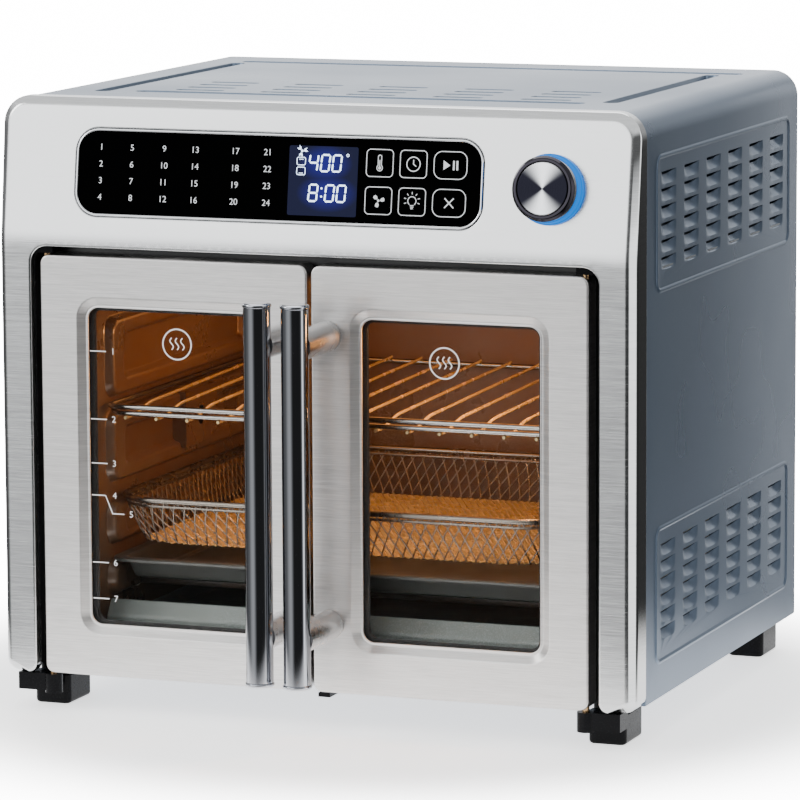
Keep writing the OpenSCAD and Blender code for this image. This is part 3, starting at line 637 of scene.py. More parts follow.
def lit_screen():
    """Dark blue display, brighter round its two rows of figures."""
    f = Finish("display_blue", (0.004, 0.005, 0.02), 0.0, 0.1, Emission_Strength=1.0, Specular_IOR_Level=0.02)
    glow = None
    for x, s, w in ((10.0, 61.0, 17.0), (12.5, 40.0, 19.0)):
        off = f.vector("SUBTRACT", f.where, on_panel(x, s, 0))
        size = f.vector("MULTIPLY", off, (1 / w, 1 / 11.0, 1 / 11.0))
        reach = f.vector("LENGTH", size, out="Value")
        near = f.ramp(f.math("MULTIPLY", reach, 1 / MM), 1.25, 0.35)
        glow = f.math("MAXIMUM", glow, near) if glow else near
    f.link(f.blend(glow, (0.012, 0.014, 0.032), (0.022, 0.020, 0.24)), "Emission Color")
    return f.material


# ---------------------------------------------------------------- front bezel

def front_face(z):
    """Depth of the bezel's face at height z, and how steeply it leans back there."""
    soft = 6.0
    slope = math.tan(LEAN)
    t = z - BEND_Z
    if t <= -soft:
        return 0.0, 0.0
    if t >= soft:
        return t * slope, slope
    return slope * (t + soft) ** 2 / (4 * soft), slope * (t + soft) / (2 * soft)


def on_face(x, z, depth):
    y, slope = front_face(z)
    size = math.hypot(1, slope)
    return P(x, y + depth / size, z - depth * slope / size)


def glass_outline(out):
    x0, x1 = span("control_glass")[0]
    z0, z1 = (BEND_Z + s * math.cos(LEAN) for s in GLASS_UP)
    return rrect(x0, z0, x1, z1, GLASS_R, out, 10, (40, 6))


def rim_profiles():
    """The bezel's rim in section, (in from its edge, back from its face): outside and round the opening."""
    outer = round_off([(1.6, 27.5), (0, 27.2), (0, 7.4), (5.6, 0), (12, 0)], 1.9, 5)
    inner = round_off([(1.6, 9), (0, 8.7), (0, 4.6), (0.5, 0), (12, 0)], 1.9, 5)
    return outer[:-1], inner[:-1]


def make_bezel():
    half, high, corner = OPENING
    low = BEZEL_LOW
    edge = [(half, low, 7.0, 0), (HALF_W, low, 9.5, 1), (HALF_W, TOP, TOP_R, 1), (-HALF_W, TOP, TOP_R, 1),
            (-HALF_W, low, 9.5, 1), (-half, low, 7.0, 0), (-half, high, corner, 0), (half, high, corner, 0)]
    points, normals, kinds = rounded_path(edge)
    outer, inner = rim_profiles()
    mould = Mould(on_face)
    made = []
    for (oin, oback), (iin, iback) in zip(outer, inner):
        ring = []
        for (x, z), (nx, nz), kind in zip(points, normals, kinds):
            into, back = oin * kind + iin * (1 - kind), oback * kind + iback * (1 - kind)
            px, pz = x + nx * into, z + nz * into
            v = mould.bm.verts.new(P(px, front_face(pz)[0] * (1 - back / 27.5) + back, pz))
            mould.flat[v] = (px, pz)
            ring.append(v)
        made.append(ring)
    for a, b in zip(made, made[1:]):
        mould.strip(a, b)
    recess = [(3.4, 0), (2.9, 0.15), (2.5, 0.6), (2.3, 1.3), (2.1, 3.0)]
    glass_hole, _ = mould.rings(glass_outline, recess)
    kx, kz = knob_centre()
    knob_hole, _ = mould.rings(lambda out: circle(kx, kz, 23.0 + out, 64), [(0, 0), (-0.5, 0.6), (-1, 2.5)])
    bends = [BEND_Z + dz for dz in (-6, -3, 0, 3, 6)]
    grid = [(x, z) for z in bends for x in range(-228, 229, 8)]
    mould.fill(made[-1], [glass_hole, knob_hole], grid)
    piece("front_bezel_sheet", mould.bm, PANEL_STEEL, "cabinet", "brushed_steel", ["front_bezel"], skin=1.0)


def knob_centre():
    return sum(span("knob")[0]) / 2, BEND_Z + KNOB_UP * math.cos(LEAN)


# ---------------------------------------------------------------- doors

def door_face(x, z, depth):
    return P(x, depth, z)


def window_edge(out):
    return rrect(*WINDOW[:2], *WINDOW[2:], 8.0, out, 10)


def door_skin_mesh():
    (x0, x1), (_, back), (z0, z1) = DOOR
    mould = Mould(door_face)
    fold = 1.5
    turn = [(-fold * (1 - math.cos(a)), fold * (1 - math.sin(a))) for a in
            (math.pi / 2 * i / 5 for i in range(6))]
    path = [(-1.4, back), (-0.2, back), (0, back - 0.6)] + turn
    _, face = mould.rings(lambda out: rrect(x0, z0, x1, z1, 6.5, out, 8), path)
    dish = [(8.6, 0), (8.0, 0.06), (7.4, 0.26), (6.8, 0.6), (2.6, 2.95), (2.0, 3.12), (1.5, 3.1), (1.0, 2.9),
            (0.6, 2.85), (0.25, 3.0), (0.05, 3.3), (0, 3.8)]
    window, _ = mould.rings(window_edge, dish)
    mould.fill(face, [window])
    return mould.bm


def post_heights():
    lo, hi = POST[2]
    return lo + POST_R, hi - POST_R


def make_door(side, flip):
    body = side + "_door"

    def add(name, bm, material, slot, node, **how):
        if flip:
            bm, plain = mirrored(bm), bm
            plain.free()
        piece(f"{side}_{name}", bm, material, body, slot, [f"{side}_{node}"] if node else [], **how)

    add("door_sheet", door_skin_mesh(), STEEL, "brushed_steel", "door_skin", skin=0.9)
    add("window_glass", pane_mesh(), GLASS, "door_glass", "door_glass")
    add("window_border", border_mesh(), RUBBER, "seal_rubber", None)
    add("inner_panel", inner_panel_mesh(), DARK, "dark_paint", "door_frame", skin=1.6)
    add("gasket", gasket_mesh(), RUBBER, "seal_rubber", "door_seal")
    add("bar_tube", bar_mesh(), BAR_CHROME, "chrome", "handle_bar")
    add("bar_ends", bar_end_mesh(), BAR_CHROME, "chrome", "handle_caps")
    add("posts", post_mesh(), SATIN, "plain_steel", "handle_posts")


def pane_mesh():
    bm = bmesh.new()
    (x0, x1), (y0, y1), (z0, z1) = PANE
    prism(bm, lambda x, z, d: P(x, y0 + d, z), lambda out: rrect(x0, z0, x1, z1, 10, out),
          y1 - y0, 0.6, 0.6, 2)
    return bm


def border_mesh():
    """Black printed border just behind the pane."""
    mould = Mould(lambda x, z, d: P(x, PANE[1][1] + 0.02 + d, z))
    mould.rings(window_edge, [(6.5, 0), (-2.2, 0), (-2.2, 0.12), (6.5, 0.12), (6.5, 0)])
    return mould.bm


def inner_panel_mesh():
    (x0, x1), (_, y1), (z0, z1) = span("right_door_frame")
    mould = Mould(lambda x, z, d: P(x, y1 - d, z))
    bm = mould.bm
    _, face = mould.rings(lambda out: rrect(x0, z0, x1, z1, 5, out), [(0, 4), (0, 1), (-0.3, 0.3), (-1, 0)])
    ridge, _ = mould.rings(window_edge, [(16, 0), (15, 0.4), (14, 1.2), (11, 1.4), (2, 1.4), (0.6, 1.6),
                                         (0, 2.4)])
    mould.fill(face, [ridge])
    bmesh.ops.reverse_faces(bm, faces=bm.faces[:])
    return bm


def gasket_mesh():
    _, (y0, y1), _ = span("right_door_seal")
    mould = Mould(lambda x, z, d: P(x, y0 + d, z))
    deep = y1 - y0
    mould.rings(window_edge, [(6.6, 0), (2.4, 0), (2.1, 0.6), (2.1, deep - 0.6), (2.4, deep), (6.6, deep),
                              (6.6, 0)])
    return mould.bm


def bar_mesh():
    bm = bmesh.new()
    z0, z1 = BAR[2]
    lathe(bm, [(0, z0 + 1), (BAR_R - 0.6, z0 + 1), (BAR_R - 0.3, z0), (BAR_R, z0 + 0.4), (BAR_R, z1 - 0.4),
               (BAR_R - 0.3, z1), (BAR_R - 0.6, z1 - 1), (0, z1 - 1)], P(BAR_X, BAR_Y, 0), (0, 0, 1), 128)
    return bm


def bar_end_mesh():
    bm = bmesh.new()
    r = (CAP[0][1] - CAP[0][0]) / 2
    for z, up in ((CAP[2][0], 1), (CAP[2][1], -1)):
        deep = 3.0
        shape = round_off([(0, 0), (r - 1.6, 0), (r, 0.9), (r, deep), (BAR_R - 1, deep)], 0.7, 5)
        shape.append((0, deep))
        lathe(bm, shape, P(BAR_X, BAR_Y, z), (0, 0, up), 128)
    return bm


def post_mesh():
    """Standoffs whose outer ends follow the bar."""
    bm = bmesh.new()
    n = 96
    near = 2.2
    steps = ((POST_R - 0.9, 0.6), (POST_R - 0.9, -0.7), (POST_R - 0.3, -0.75), (POST_R, -1.1), (POST_R, -4.0),
             (POST_R, None))
    for z in post_heights():
        rings = []
        for r, y in steps:
            ring = []
            for i in range(n):
                a = 2 * math.pi * i / n
                x = r * math.cos(a)
                end = BAR_Y + math.sqrt(max(BAR_R ** 2 - x ** 2, near ** 2))
                ring.append(bm.verts.new(P(BAR_X + x, end if y is None else y, z + r * math.sin(a))))
            rings.append(ring)
        for a, b in zip(rings, rings[1:]):
            for i in range(n):
                j = (i + 1) % n
                bm.faces.new([a[i], a[j], b[j], b[i]])
        bm.faces.new(rings[0][::-1])
        bm.faces.new(rings[-1])
    return bm


# ---------------------------------------------------------------- cabinet

BEAD = 0.9                       # height of the raised frames on the sides
WRAP_LOW = CABINET[2][0]
WRAP_SIDE = TOP - TOP_R - WRAP_LOW
WRAP_BEND = math.pi / 2 * TOP_R
WRAP_FLAT = 2 * (HALF_W - TOP_R)
WRAP_ALL = 2 * WRAP_SIDE + 2 * WRAP_BEND + WRAP_FLAT
BEND_CUTS = 14
LOUVRE = {"w": 36.0, "h": 9.2, "deep": 3.8, "corner": 2.5, "slit": 3.2, "end": 12.0}
LOUVRE_PITCH = (53, 12.1)        # along the side and up it
LOUVRE_Y = 79                    # middle of the first louvre of a row
FIELDS = ((26.5, 122.5, 41.0), (292.0, 386.6, 305.8))   # lower and upper edge, height of the lowest row
FIELD_Y = (52, 376)
GROOVES = ((-199, 74, -187, 342), (-168, 78, 178, 90), (187, 92, 199, 342), (-196, 349, 212, 361))
VENTS = [(-145 + 67 * group, 104 + 22.4 * row) for group in range(5) for row in range(4)]


def wrap(u, v, depth):
    """A point on the cabinet's wrap: u along its section from the left lower edge, v towards the rear."""
    depth += BEAD
    if u <= WRAP_SIDE:
        return P(-HALF_W + depth, v, WRAP_LOW + u)
    u -= WRAP_SIDE
    if u <= WRAP_BEND:
        a = u / TOP_R
        r = TOP_R - depth
        return P(-HALF_W + TOP_R - r * math.cos(a), v, TOP - TOP_R + r * math.sin(a))
    u -= WRAP_BEND
    if u <= WRAP_FLAT:
        return P(-HALF_W + TOP_R + u, v, TOP - depth)
    u -= WRAP_FLAT
    if u <= WRAP_BEND:
        a = u / TOP_R
        r = TOP_R - depth
        return P(HALF_W - TOP_R + r * math.sin(a), v, TOP - TOP_R + r * math.cos(a))
    u -= WRAP_BEND
    return P(HALF_W - depth, v, TOP - TOP_R - u)


def louvre(mould, cu, cv, up):
    """One inward scoop, open along its upper edge. (cu, cv) is the middle of its lower edge."""
    half, high, corner = LOUVRE["w"] / 2, LOUVRE["h"], LOUVRE["corner"]
    cols, rows = 18, 6

    def spot(a, b):
        return (cu + up * b, cv + a)

    def floor(a):
        over = abs(a) - (half - corner)
        return corner - math.sqrt(max(corner ** 2 - over ** 2, 0)) if over > 0 else 0.0

    grid = []
    for j in range(rows + 1):
        t = j / rows
        row = []
        for i in range(cols + 1):
            s = 2 * i / cols - 1
            a = half * math.sin(s * math.pi / 2 * 0.9) / math.sin(math.pi / 2 * 0.9)
            low = floor(a)
            share = max(0.0, min(1.0, (half - abs(a)) / LOUVRE["end"]))
            share *= share * (3 - 2 * share)
            b = low + t * (high - LOUVRE["slit"] * share - low)
            row.append(mould.vert(spot(a, b), LOUVRE["deep"] * (1 - (1 - t) ** 1.6) * share))
        grid.append(row)
    lip = [mould.vert(spot(mould.flat[v][1] - cv, high), 0.0) for v in grid[-1][1:-1]]
    top = [grid[-1][0], *lip, grid[-1][-1]]
    for low, high_row in zip(grid, grid[1:]):
        for i in range(cols):
            quad = [low[i], high_row[i], high_row[i + 1], low[i + 1]]
            mould.bm.faces.new(quad if up > 0 else quad[::-1])
    left = [row[0] for row in grid[1:-1]]
    right = [row[-1] for row in grid[1:-1]]
    edge = grid[0] + right + top[::-1] + left[::-1]
    return edge if up < 0 else edge[::-1]


def side_panel(mould, u0, u1, up, v_rows):
    """One flat side of the wrap, with two louvre fields inside raised beads."""
    base = u0 if up > 0 else u1
    fields = []
    bead = [(2.0, 0), (1.5, -0.3), (0.8, -0.8), (0, -BEAD), (-0.8, -0.8), (-1.5, -0.3), (-2.0, 0)]
    along, pitch = LOUVRE_PITCH
    for low, high, row0 in FIELDS:
        ua, ub = sorted((base + up * (low - WRAP_LOW), base + up * (high - WRAP_LOW)))
        outer, inner = mould.rings(lambda out: rrect(ua, FIELD_Y[0], ub, FIELD_Y[1], 8, out, 6), bead)
        holes = [louvre(mould, base + up * (row0 + row * pitch - WRAP_LOW), LOUVRE_Y + col * along, up)
                 for row in range(6) for col in range(6)]
        mould.fill(inner, holes)
        fields.append(outer)
    border = [(u1, v) for v in v_rows] + [(u0, v) for v in v_rows[::-1]]
    ring = mould.ring(border)
    mould.fill(ring, fields)


def make_cabinet():
    v0, v1 = CABINET[1]
    hem = 1.0
    mould = Mould(wrap)
    rows = [v0 + hem + (v1 - 2 * hem - v0) * i / 24 for i in range(25)]
    marks = [0, WRAP_SIDE, WRAP_SIDE + WRAP_BEND, WRAP_SIDE + WRAP_BEND + WRAP_FLAT,
             WRAP_ALL - WRAP_SIDE, WRAP_ALL]
    rows[1:1] = [rows[0] + d for d in (2.4, 3.2, 4.0)]
    side_panel(mould, marks[0], marks[1], 1, rows)
    side_panel(mould, marks[4], marks[5], -1, rows)
    bends = ((marks[1], marks[2]), (marks[3], marks[4]))
    for a, b in bends:
        grid = [[mould.vert((a + (b - a) * k / BEND_CUTS, v), 0) for v in rows] for k in range(BEND_CUTS + 1)]
        for first, second in zip(grid, grid[1:]):
            mould.strip(second, first, closed=False)
    top_panel(mould, marks[2], marks[3], rows)
    around = sorted({*marks, *(a + (b - a) * k / BEND_CUTS for a, b in bends for k in range(BEND_CUTS + 1))})
    for v_edge, v_in, sign in ((v0, rows[0], 1), (v1, rows[-1], -1)):
        lines = []
        for a in (math.radians(degrees) for degrees in (0, 30, 60, 90)):
            v = v_in - sign * hem * math.sin(a)
            lines.append([mould.vert((u, v), hem * (1 - math.cos(a))) for u in around])
        lines.append([mould.vert((u, v_edge), 9.0) for u in around])
        for first, second in zip(lines, lines[1:]):
            mould.strip(*((first, second) if sign < 0 else (second, first)), closed=False)
    for u_edge, sign in ((marks[0], -1), (marks[-1], 1)):
        first = [mould.vert((u_edge, v), 0) for v in rows]
        second = [mould.bm.verts.new(P(math.copysign(HALF_W - 10, sign), v, WRAP_LOW)) for v in rows]
        mould.strip(*((first, second) if sign < 0 else (second, first)), closed=False)
    piece("cabinet_wrap", mould.bm, PAINT, "cabinet", "painted_steel", ["cabinet_shell"], skin=0.9, sharp=38)


def top_panel(mould, u0, u1, v_rows):
    """The wrap's top: four pressed grooves round the edge and five groups of vent slots."""
    middle = u0 + (HALF_W - TOP_R)
    holes = []
    press = [(0.4, 0), (0, 0.15), (-0.35, 0.6), (-0.7, 2.8), (-1.2, 3.3), (-2.6, 3.4)]
    for x0, v0, x1, v1 in GROOVES:
        outer, inner = mould.rings(lambda out: rrect(middle + x0, v0, middle + x1, v1, 5.9, out, 6), press)
        mould.fill(inner)
        holes.append(outer)
    for x, v in VENTS:
        outer, _ = mould.rings(lambda out: rrect(middle + x, v - 3.4, middle + x + 38, v + 3.4, 3.39, out, 6),
                               [(0.5, 0), (0.1, 0.15), (0, 0.6), (0, 1.6)])
        holes.append(outer)
    border = [(u1, v) for v in v_rows] + [(u0, v) for v in v_rows[::-1]]
    mould.fill(mould.ring(border), holes)


def outline_cabinet(out):
    """The rear cover's outline in x and z."""
    (x0, x1), _, (z0, z1) = span("rear_panel")
    n = 10
    r = TOP_R - 1.2 + out
    low = 3.0 + out
    x0, x1, z0, z1 = x0 - out, x1 + out, z0 - out, z1 + out
    return (arc(x1 - low, z0 + low, low, -90, 0, n) + arc(x1 - r, z1 - r, r, 0, 90, n)
            + arc(x0 + r, z1 - r, r, 90, 180, n) + arc(x0 + low, z0 + low, low, 180, 270, n))


def make_rear():
    _, (_, y1), _ = span("rear_panel")
    mould = Mould(lambda x, z, d: P(x, y1 - d, z))
    _, face = mould.rings(outline_cabinet, [(-1.2, 3), (-0.2, 1.2), (-0.1, 0.5), (-0.6, 0)])
    holes = []
    slots = [(side * 110, 236 + row * 14, 120) for side in (-1, 1) for row in range(4)]
    slots += [(side * 90, 60 + row * 14, 90) for side in (-1, 1) for row in range(6)]
    for x, z, w in slots:
        outer, _ = mould.rings(lambda out: rrect(x - w / 2, z - 2, x + w / 2, z + 2, 1.99, out, 6),
                               [(1.0, 0), (0.3, 0.25), (0, 0.9)])
        holes.append(outer)
    panel = [(2.0, 0), (1.0, -0.6), (0, -0.8), (-1.0, -0.6), (-2.0, 0)]
    frame_outer, frame_inner = mould.rings(lambda out: rrect(-196, 34, 196, 376, 14, out, 8), panel)
    mould.fill(frame_inner, holes)
    mould.fill(face, [frame_outer])
    bmesh.ops.reverse_faces(mould.bm, faces=mould.bm.faces[:])
    piece("rear_cover", mould.bm, PAINT, "cabinet", "painted_steel", ["rear_panel"], skin=0.9)


def make_feet():
    bm = bmesh.new()
    low = span("feet")[2][0]
    for x, y in FEET:
        def foot(out, hx=14, hy=21, r=5):
            return rrect(x - hx, y - hy, x + hx, y + hy, r, out, 6)
        prism(bm, lambda a, b, d: P(a, b, low + 22 - d), foot, 22, 0.8, 2.6)
        prism(bm, lambda a, b, d: P(a, b, 1.7 - d), lambda out: foot(out, 13, 14), 8.2, 0.3, 0.3, 2)
    piece("feet_moulded", bm, BLACK, "cabinet", "black_plastic", ["feet"])


# ---------------------------------------------------------------- controls

def ribbon(mould, points, width, closed=False):
    """A flat line of even width, as one strip."""
    pts = [Vector(p) for p in points]
    count = len(pts)
    a, b = [], []
    for i, p in enumerate(pts):
        before = pts[i - 1] if i or closed else None
        after = pts[(i + 1) % count] if i < count - 1 or closed else None
        d0 = (p - before).normalized() if before else (after - p).normalized()
        d1 = (after - p).normalized() if after else d0
        side = (Vector((-d0.y, d0.x)) + Vector((-d1.y, d1.x))).normalized()
        stretch = min(1.0 / max(side.dot(Vector((-d0.y, d0.x))), 0.3), 2.5)
        a.append(mould.vert(p + side * width / 2 * stretch, 0.0))
        b.append(mould.vert(p - side * width / 2 * stretch, 0.0))
    mould.strip(b, a, closed)


def patch(mould, points):
    mould.fill(mould.ring(points))


def text(mould, words, x, y, size):
    """Plain numbers in the built-in font, centred on (x, y)."""
    curve = bpy.data.curves.new("figures", "FONT")
    curve.body = words
    curve.size = size
    curve.align_x, curve.align_y = "CENTER", "CENTER"
    holder = bpy.data.objects.new("figures", curve)
    bpy.context.scene.collection.objects.link(holder)
    bpy.context.view_layer.update()
    mesh = bpy.data.meshes.new_from_object(holder.evaluated_get(bpy.context.evaluated_depsgraph_get()))
    verts = [mould.vert((x + v.co.x, y + v.co.y), 0.0) for v in mesh.vertices]
    for poly in mesh.polygons:
        corners = [verts[i] for i in poly.vertices]
        flat = [mould.flat[v] for v in corners]
        area = sum(p[0] * q[1] - q[0] * p[1] for p, q in zip(flat, flat[1:] + flat[:1]))
        if abs(area) > 1e-9:
            mould.bm.faces.new(corners if area > 0 else corners[::-1])
    bpy.data.objects.remove(holder)
    bpy.data.curves.remove(curve)


def clock(m, x, y, r=5.0):
    ribbon(m, circle(x, y, r, 40), 0.7, True)
    ribbon(m, [(x, y + r * 0.62), (x, y), (x + r * 0.42, y - r * 0.32)], 0.7)


def thermometer(m, x, y):
    ribbon(m, arc(x, y - 3.4, 2.1, -235, 55, 20) + arc(x, y + 4.4, 1.25, 0, 180, 10), 0.6, True)
    patch(m, circle(x, y - 3.4, 1.15, 20))
    ribbon(m, [(x, y - 3.4), (x, y + 2.2)], 0.7)


def bulb(m, x, y):
    ribbon(m, arc(x, y + 0.6, 3.1, -55, 235, 24), 0.6)
    for k in range(3):
        ribbon(m, [(x - 1.4 + 0.2 * k, y - 2.6 - 1.1 * k), (x + 1.4 - 0.2 * k, y - 2.6 - 1.1 * k)], 0.6)
    for k in range(7):
        a = math.radians(-20 + 220 * k / 6)
        ribbon(m, [(x + 4.5 * math.cos(a), y + 0.8 + 4.5 * math.sin(a)),
                   (x + 6.2 * math.cos(a), y + 0.8 + 6.2 * math.sin(a))], 0.55)


def blades(m, x, y, r=4.8):
    patch(m, circle(x, y, 0.9, 16))
    for k in range(3):
        turn = math.radians(120 * k + 20)
        cos, sin = math.cos(turn), math.sin(turn)
        shape = [(1.1, -0.3), (2.4, -1.6), (4.2, -1.7), (r, -0.3), (4.4, 0.9), (2.6, 1.0)]
        patch(m, [(x + px * cos - py * sin, y + px * sin + py * cos) for px, py in shape])


def play_pause(m, x, y):
    patch(m, [(x - 5.2, y - 3.4), (x - 0.2, y), (x - 5.2, y + 3.4)])
    for dx in (1.8, 4.4):
        patch(m, [(x + dx, y - 3.3), (x + dx + 1.3, y - 3.3), (x + dx + 1.3, y + 3.3), (x + dx, y + 3.3)])


def cancel(m, x, y):
    for k in (-1, 1):
        ribbon(m, [(x - 3.4, y - 3.4 * k), (x + 3.4, y + 3.4 * k)], 0.9)


SEGMENTS = {"0": "abcdef", "4": "fgbc", "8": "abcdefg"}


def digit(m, char, x, y, w=6.2, h=11.6, t=1.25):
    """A seven-segment figure with its lower left corner at (x, y)."""
    g = 0.25
    half = h / 2
    bars = {"a": (x, y + h, 1), "g": (x, y + half, 1), "d": (x, y, 1),
            "f": (x, y + half, 0), "b": (x + w, y + half, 0), "e": (x, y, 0), "c": (x + w, y, 0)}
    for name in SEGMENTS[char]:
        bx, by, flat = bars[name]
        if flat:
            pts = [(bx + g, by), (bx + g + t / 2, by - t / 2), (bx + w - g - t / 2, by - t / 2),
                   (bx + w - g, by), (bx + w - g - t / 2, by + t / 2), (bx + g + t / 2, by + t / 2)]
        else:
            pts = [(bx, by + g), (bx + t / 2, by + g + t / 2), (bx + t / 2, by + half - g - t / 2),
                   (bx, by + half - g), (bx - t / 2, by + half - g - t / 2), (bx - t / 2, by + g + t / 2)]
        patch(m, [(px + (py - y) * 0.09, py) for px, py in pts])


def panel_print(depth):
    return Mould(lambda x, s, d: on_panel(x, s, depth + d))


def make_controls():
    (x0, x1), _, _ = span("control_glass")
    s0, s1 = GLASS_UP

    def outline(out):
        return rrect(x0, s0, x1, s1, GLASS_R, out, 12)

    bm = bmesh.new()
    prism(bm, lambda x, s, d: on_panel(x, s, 0.3 + d), outline, 3.0, 0.9, 0.3)
    piece("control_glass_plate", bm, GLOSS, "cabinet", "control_black", ["control_glass"])

    trim = panel_print(0)
    trim.rings(outline, [(2.0, 1.4), (2.0, 0.1), (1.75, -0.25), (1.3, -0.4), (0.8, -0.3), (0.45, 0.0),
                         (0.3, 0.6), (0.3, 1.6)])
    piece("control_trim", trim.bm, CHROME, "cabinet", "brushed_steel", skin=0.15)

    marks = panel_print(0.27)
    for column, x in enumerate((-163, -139, -114, -90, -59, -34)):
        for row, s in enumerate((67.5, 55.5, 43.5, 31.5)):
            text(marks, str(1 + row + 4 * column), x, s, 6.4)
    keys = ((41.3, 20.0), (66.6, 20.0), (92.0, 24.6))
    icons = ((blades, thermometer), (bulb, clock), (cancel, play_pause))
    for column, (x, w) in enumerate(keys):
        for row, s in enumerate((26.5, 53.0)):
            r = 3.0 if column < 2 else 6.0
            ribbon(marks, rrect(x, s, x + w, s + 19.2, r, 0, 8), 0.6, True)
            icons[column][row](marks, x + w / 2, s + 9.6)
    # The marks' faint glow is painted light.
    piece("panel_marks", marks.bm, PRINT_PAINTED_GLOW, "cabinet", "control_black", skin=0.02, soft=False)

    screen = panel_print(0.26)
    patch(screen, rrect(-17.5, 23.8, 34.9, 73.2, 1.5))
    piece("display_window", screen.bm, lit_screen(), "cabinet", "display", ["display_module"],
          skin=0.03, soft=False)

    lit = panel_print(0.22)
    for char, x in zip("400", (-2.4, 6.6, 15.4)):
        digit(lit, char, x, 55.5)
    for char, x in zip("800", (-2.0, 10.6, 19.4)):
        digit(lit, char, x, 34.2)
    for s in (37.6, 43.4):
        patch(lit, circle(8.0, s, 0.75, 16))
    ribbon(lit, circle(27.0, 67.2, 0.9, 16), 0.45, True)
    blades(lit, -7.8, 69.4, 2.9)
    for s, bar in ((62.2, 1.3), (55.2, -1.5)):
        ribbon(lit, rrect(-11.4, s - 2.7, -5.0, s + 2.7, 1.2, 0, 5), 0.5, True)
        ribbon(lit, [(-9.8, s + bar), (-6.6, s + bar)], 0.45)
    piece("display_figures", lit.bm, DIGITS, "cabinet", "display", skin=0.02, soft=False)


def make_knob():
    centre, out = knob_axis()
    bm = bmesh.new()
    lathe(bm, round_off([(3, 4), (7, 4), (7, 11.8), (19.6, 11.8), (19.6, 9.5), (22.0, 9.5), (23.0, 10.4),
                         (23.0, 15.6), (21.2, 17.9), (19.0, 18.0), (18.7, 16.7), (0, 16.6)], 0.5, 4),
          centre, out, 160)
    # The body's near-black front rim is a painted reflection.
    piece("knob_body", bm, knob_chrome(), "knob", "chrome", ["knob"], sharp=40)
    bm = bmesh.new()
    lathe(bm, [(0, 16.6), (18.55, 16.6), (18.55, 17.45), (18.2, 17.75), (17.8, 17.8), (9, 17.72), (0, 17.7)],
          centre, out, 160)
    # The disc carries painted fan highlights and shade in its colour.
    piece("knob_disc", bm, SPUN_WITH_PAINTED_FANS, "knob", "spun_aluminium", ["knob_cap"], sharp=40)
    bm = bmesh.new()
    lathe(bm, round_off([(20, 0.2), (25.0, 0.2), (25.0, 4.0), (23.7, 4.4), (23.7, 8.8), (20, 9.0),
                         (20, 0.2)], 0.8, 5), centre, out, 160)
    piece("knob_glow_ring", bm, RING, "cabinet", "light_ring", ["knob_light_ring"], sharp=50)


# ---------------------------------------------------------------- inserts

def make_rack():
    """Wires running back under two front rods, their ends showing below."""
    bm = bmesh.new()
    (x0, x1), (y0, y1), (z0, _) = span("wire_rack")
    z = z0 + 4.2
    loop = bent([(0, y0 + 2, z), (x1 - 2, y0 + 2, z), (x1 - 2, y1 - 2, z), (x0 + 2, y1 - 2, z),
                 (x0 + 2, y0 + 2, z), (-1, y0 + 2, z)], 9.0)
    tube(bm, loop, 2.0, 14, closed=True)
    low = z - 5.0
    tube(bm, bent([(x0 + 2, y0 + 14, z), (x0 + 6, y0 + 3.6, low), (x1 - 6, y0 + 3.6, low),
                   (x1 - 2, y0 + 14, z)], 6), 1.9, 12)
    piece("rack_frame", bm, WIRE, "rack", "chrome", ["wire_rack"], sharp=60)
    bm = bmesh.new()
    for i in range(14):
        x = (i - 6.5) * 24.4
        tube(bm, bent([(x, y0 + 1.2, low - 3.0), (x, y0 + 20, low - 3.0), (x, y0 + 46, z - 2.4),
                       (x, y1 - 6, z + 2.6), (x, y1 - 1, z + 3.0)], 8), 1.2, 10)
    # The cross wires use the wire with painted lamplight.
    piece("rack_wires", bm, PAINTED_LAMPLIGHT_WIRE, "rack", "chrome", sharp=60)


def make_basket():
    """A tapered basket of crossed wires hung from a rim rod, with large front corners."""
    bm = bmesh.new()
    (x0, x1), (y0, y1), (z0, z1) = span("crisper_basket")
    pitch, wire, corner = 8.6, 0.62, 36.0

    def outline(inset):
        ring = rrect(x0 + inset, y0 + inset, x1 - inset, y1 - inset, corner - inset / 2, 0, 12, (30, 24))
        sizes = [math.dist(a, b) for a, b in zip(ring, ring[1:] + ring[:1])]
        total = sum(sizes)

        def at(share):
            left = share % 1.0 * total
            for k, size in enumerate(sizes):
                if left <= size:
                    a, b = ring[k], ring[(k + 1) % len(ring)]
                    return Vector(a).lerp(Vector(b), left / size)
                left -= size
            return Vector(ring[0])
        return ring, at, total

    _, rim_at, total = outline(2.5)
    floor_ring, floor_at, _ = outline(15.0)
    top, low = z1 - 2.0, z0 + 1.0
    tube(bm, [P(*rim_at(i / 200), top) for i in range(200)], 2.3, 14, closed=True)
    tube(bm, [P(*outline(4.0)[1](i / 200), top - 4.4) for i in range(200)], 1.2, 10, closed=True)
    count = int(total / pitch)
    run = 18.0 / total
    for i in range(count):
        for lean in (run, -run):
            path = []
            for t in (0, 0.25, 0.5, 0.75, 0.92, 1.0):
                share = i / count + lean * t
                path.append(P(*rim_at(share).lerp(floor_at(share), t ** 1.3), top - (top - low) * t))
            tube(bm, path, wire, 6)
    piece("basket_mesh", bm, MESH_WIRE, "basket", "plain_steel", ["crisper_basket"], sharp=70)
    bm = bmesh.new()
    pitch = 5.0
    (a0, b0), (a1, b1) = (x0 + 15, y0 + 15), (x1 - 15, y1 - 15)
    for lean in (0.5, -0.5):
        reach = (b1 - b0) * abs(lean)
        start = a0 - (reach if lean > 0 else 0)
        for i in range(int((a1 - a0 + reach) / pitch) + 1):
            base = start + i * pitch
            line = [(base + lean * (b1 - b0) * t / 60, b0 + (b1 - b0) * t / 60) for t in range(61)]
            kept = [p for p in line if inside(p, floor_ring)]
            if len(kept) > 2:
                tube(bm, [P(*kept[0], low), P(*kept[-1], low)], wire, 6)
    # The floor wires use the wire with painted lamplight.
    piece("basket_floor", bm, PAINTED_LAMPLIGHT_WIRE, "basket", "plain_steel", sharp=70)


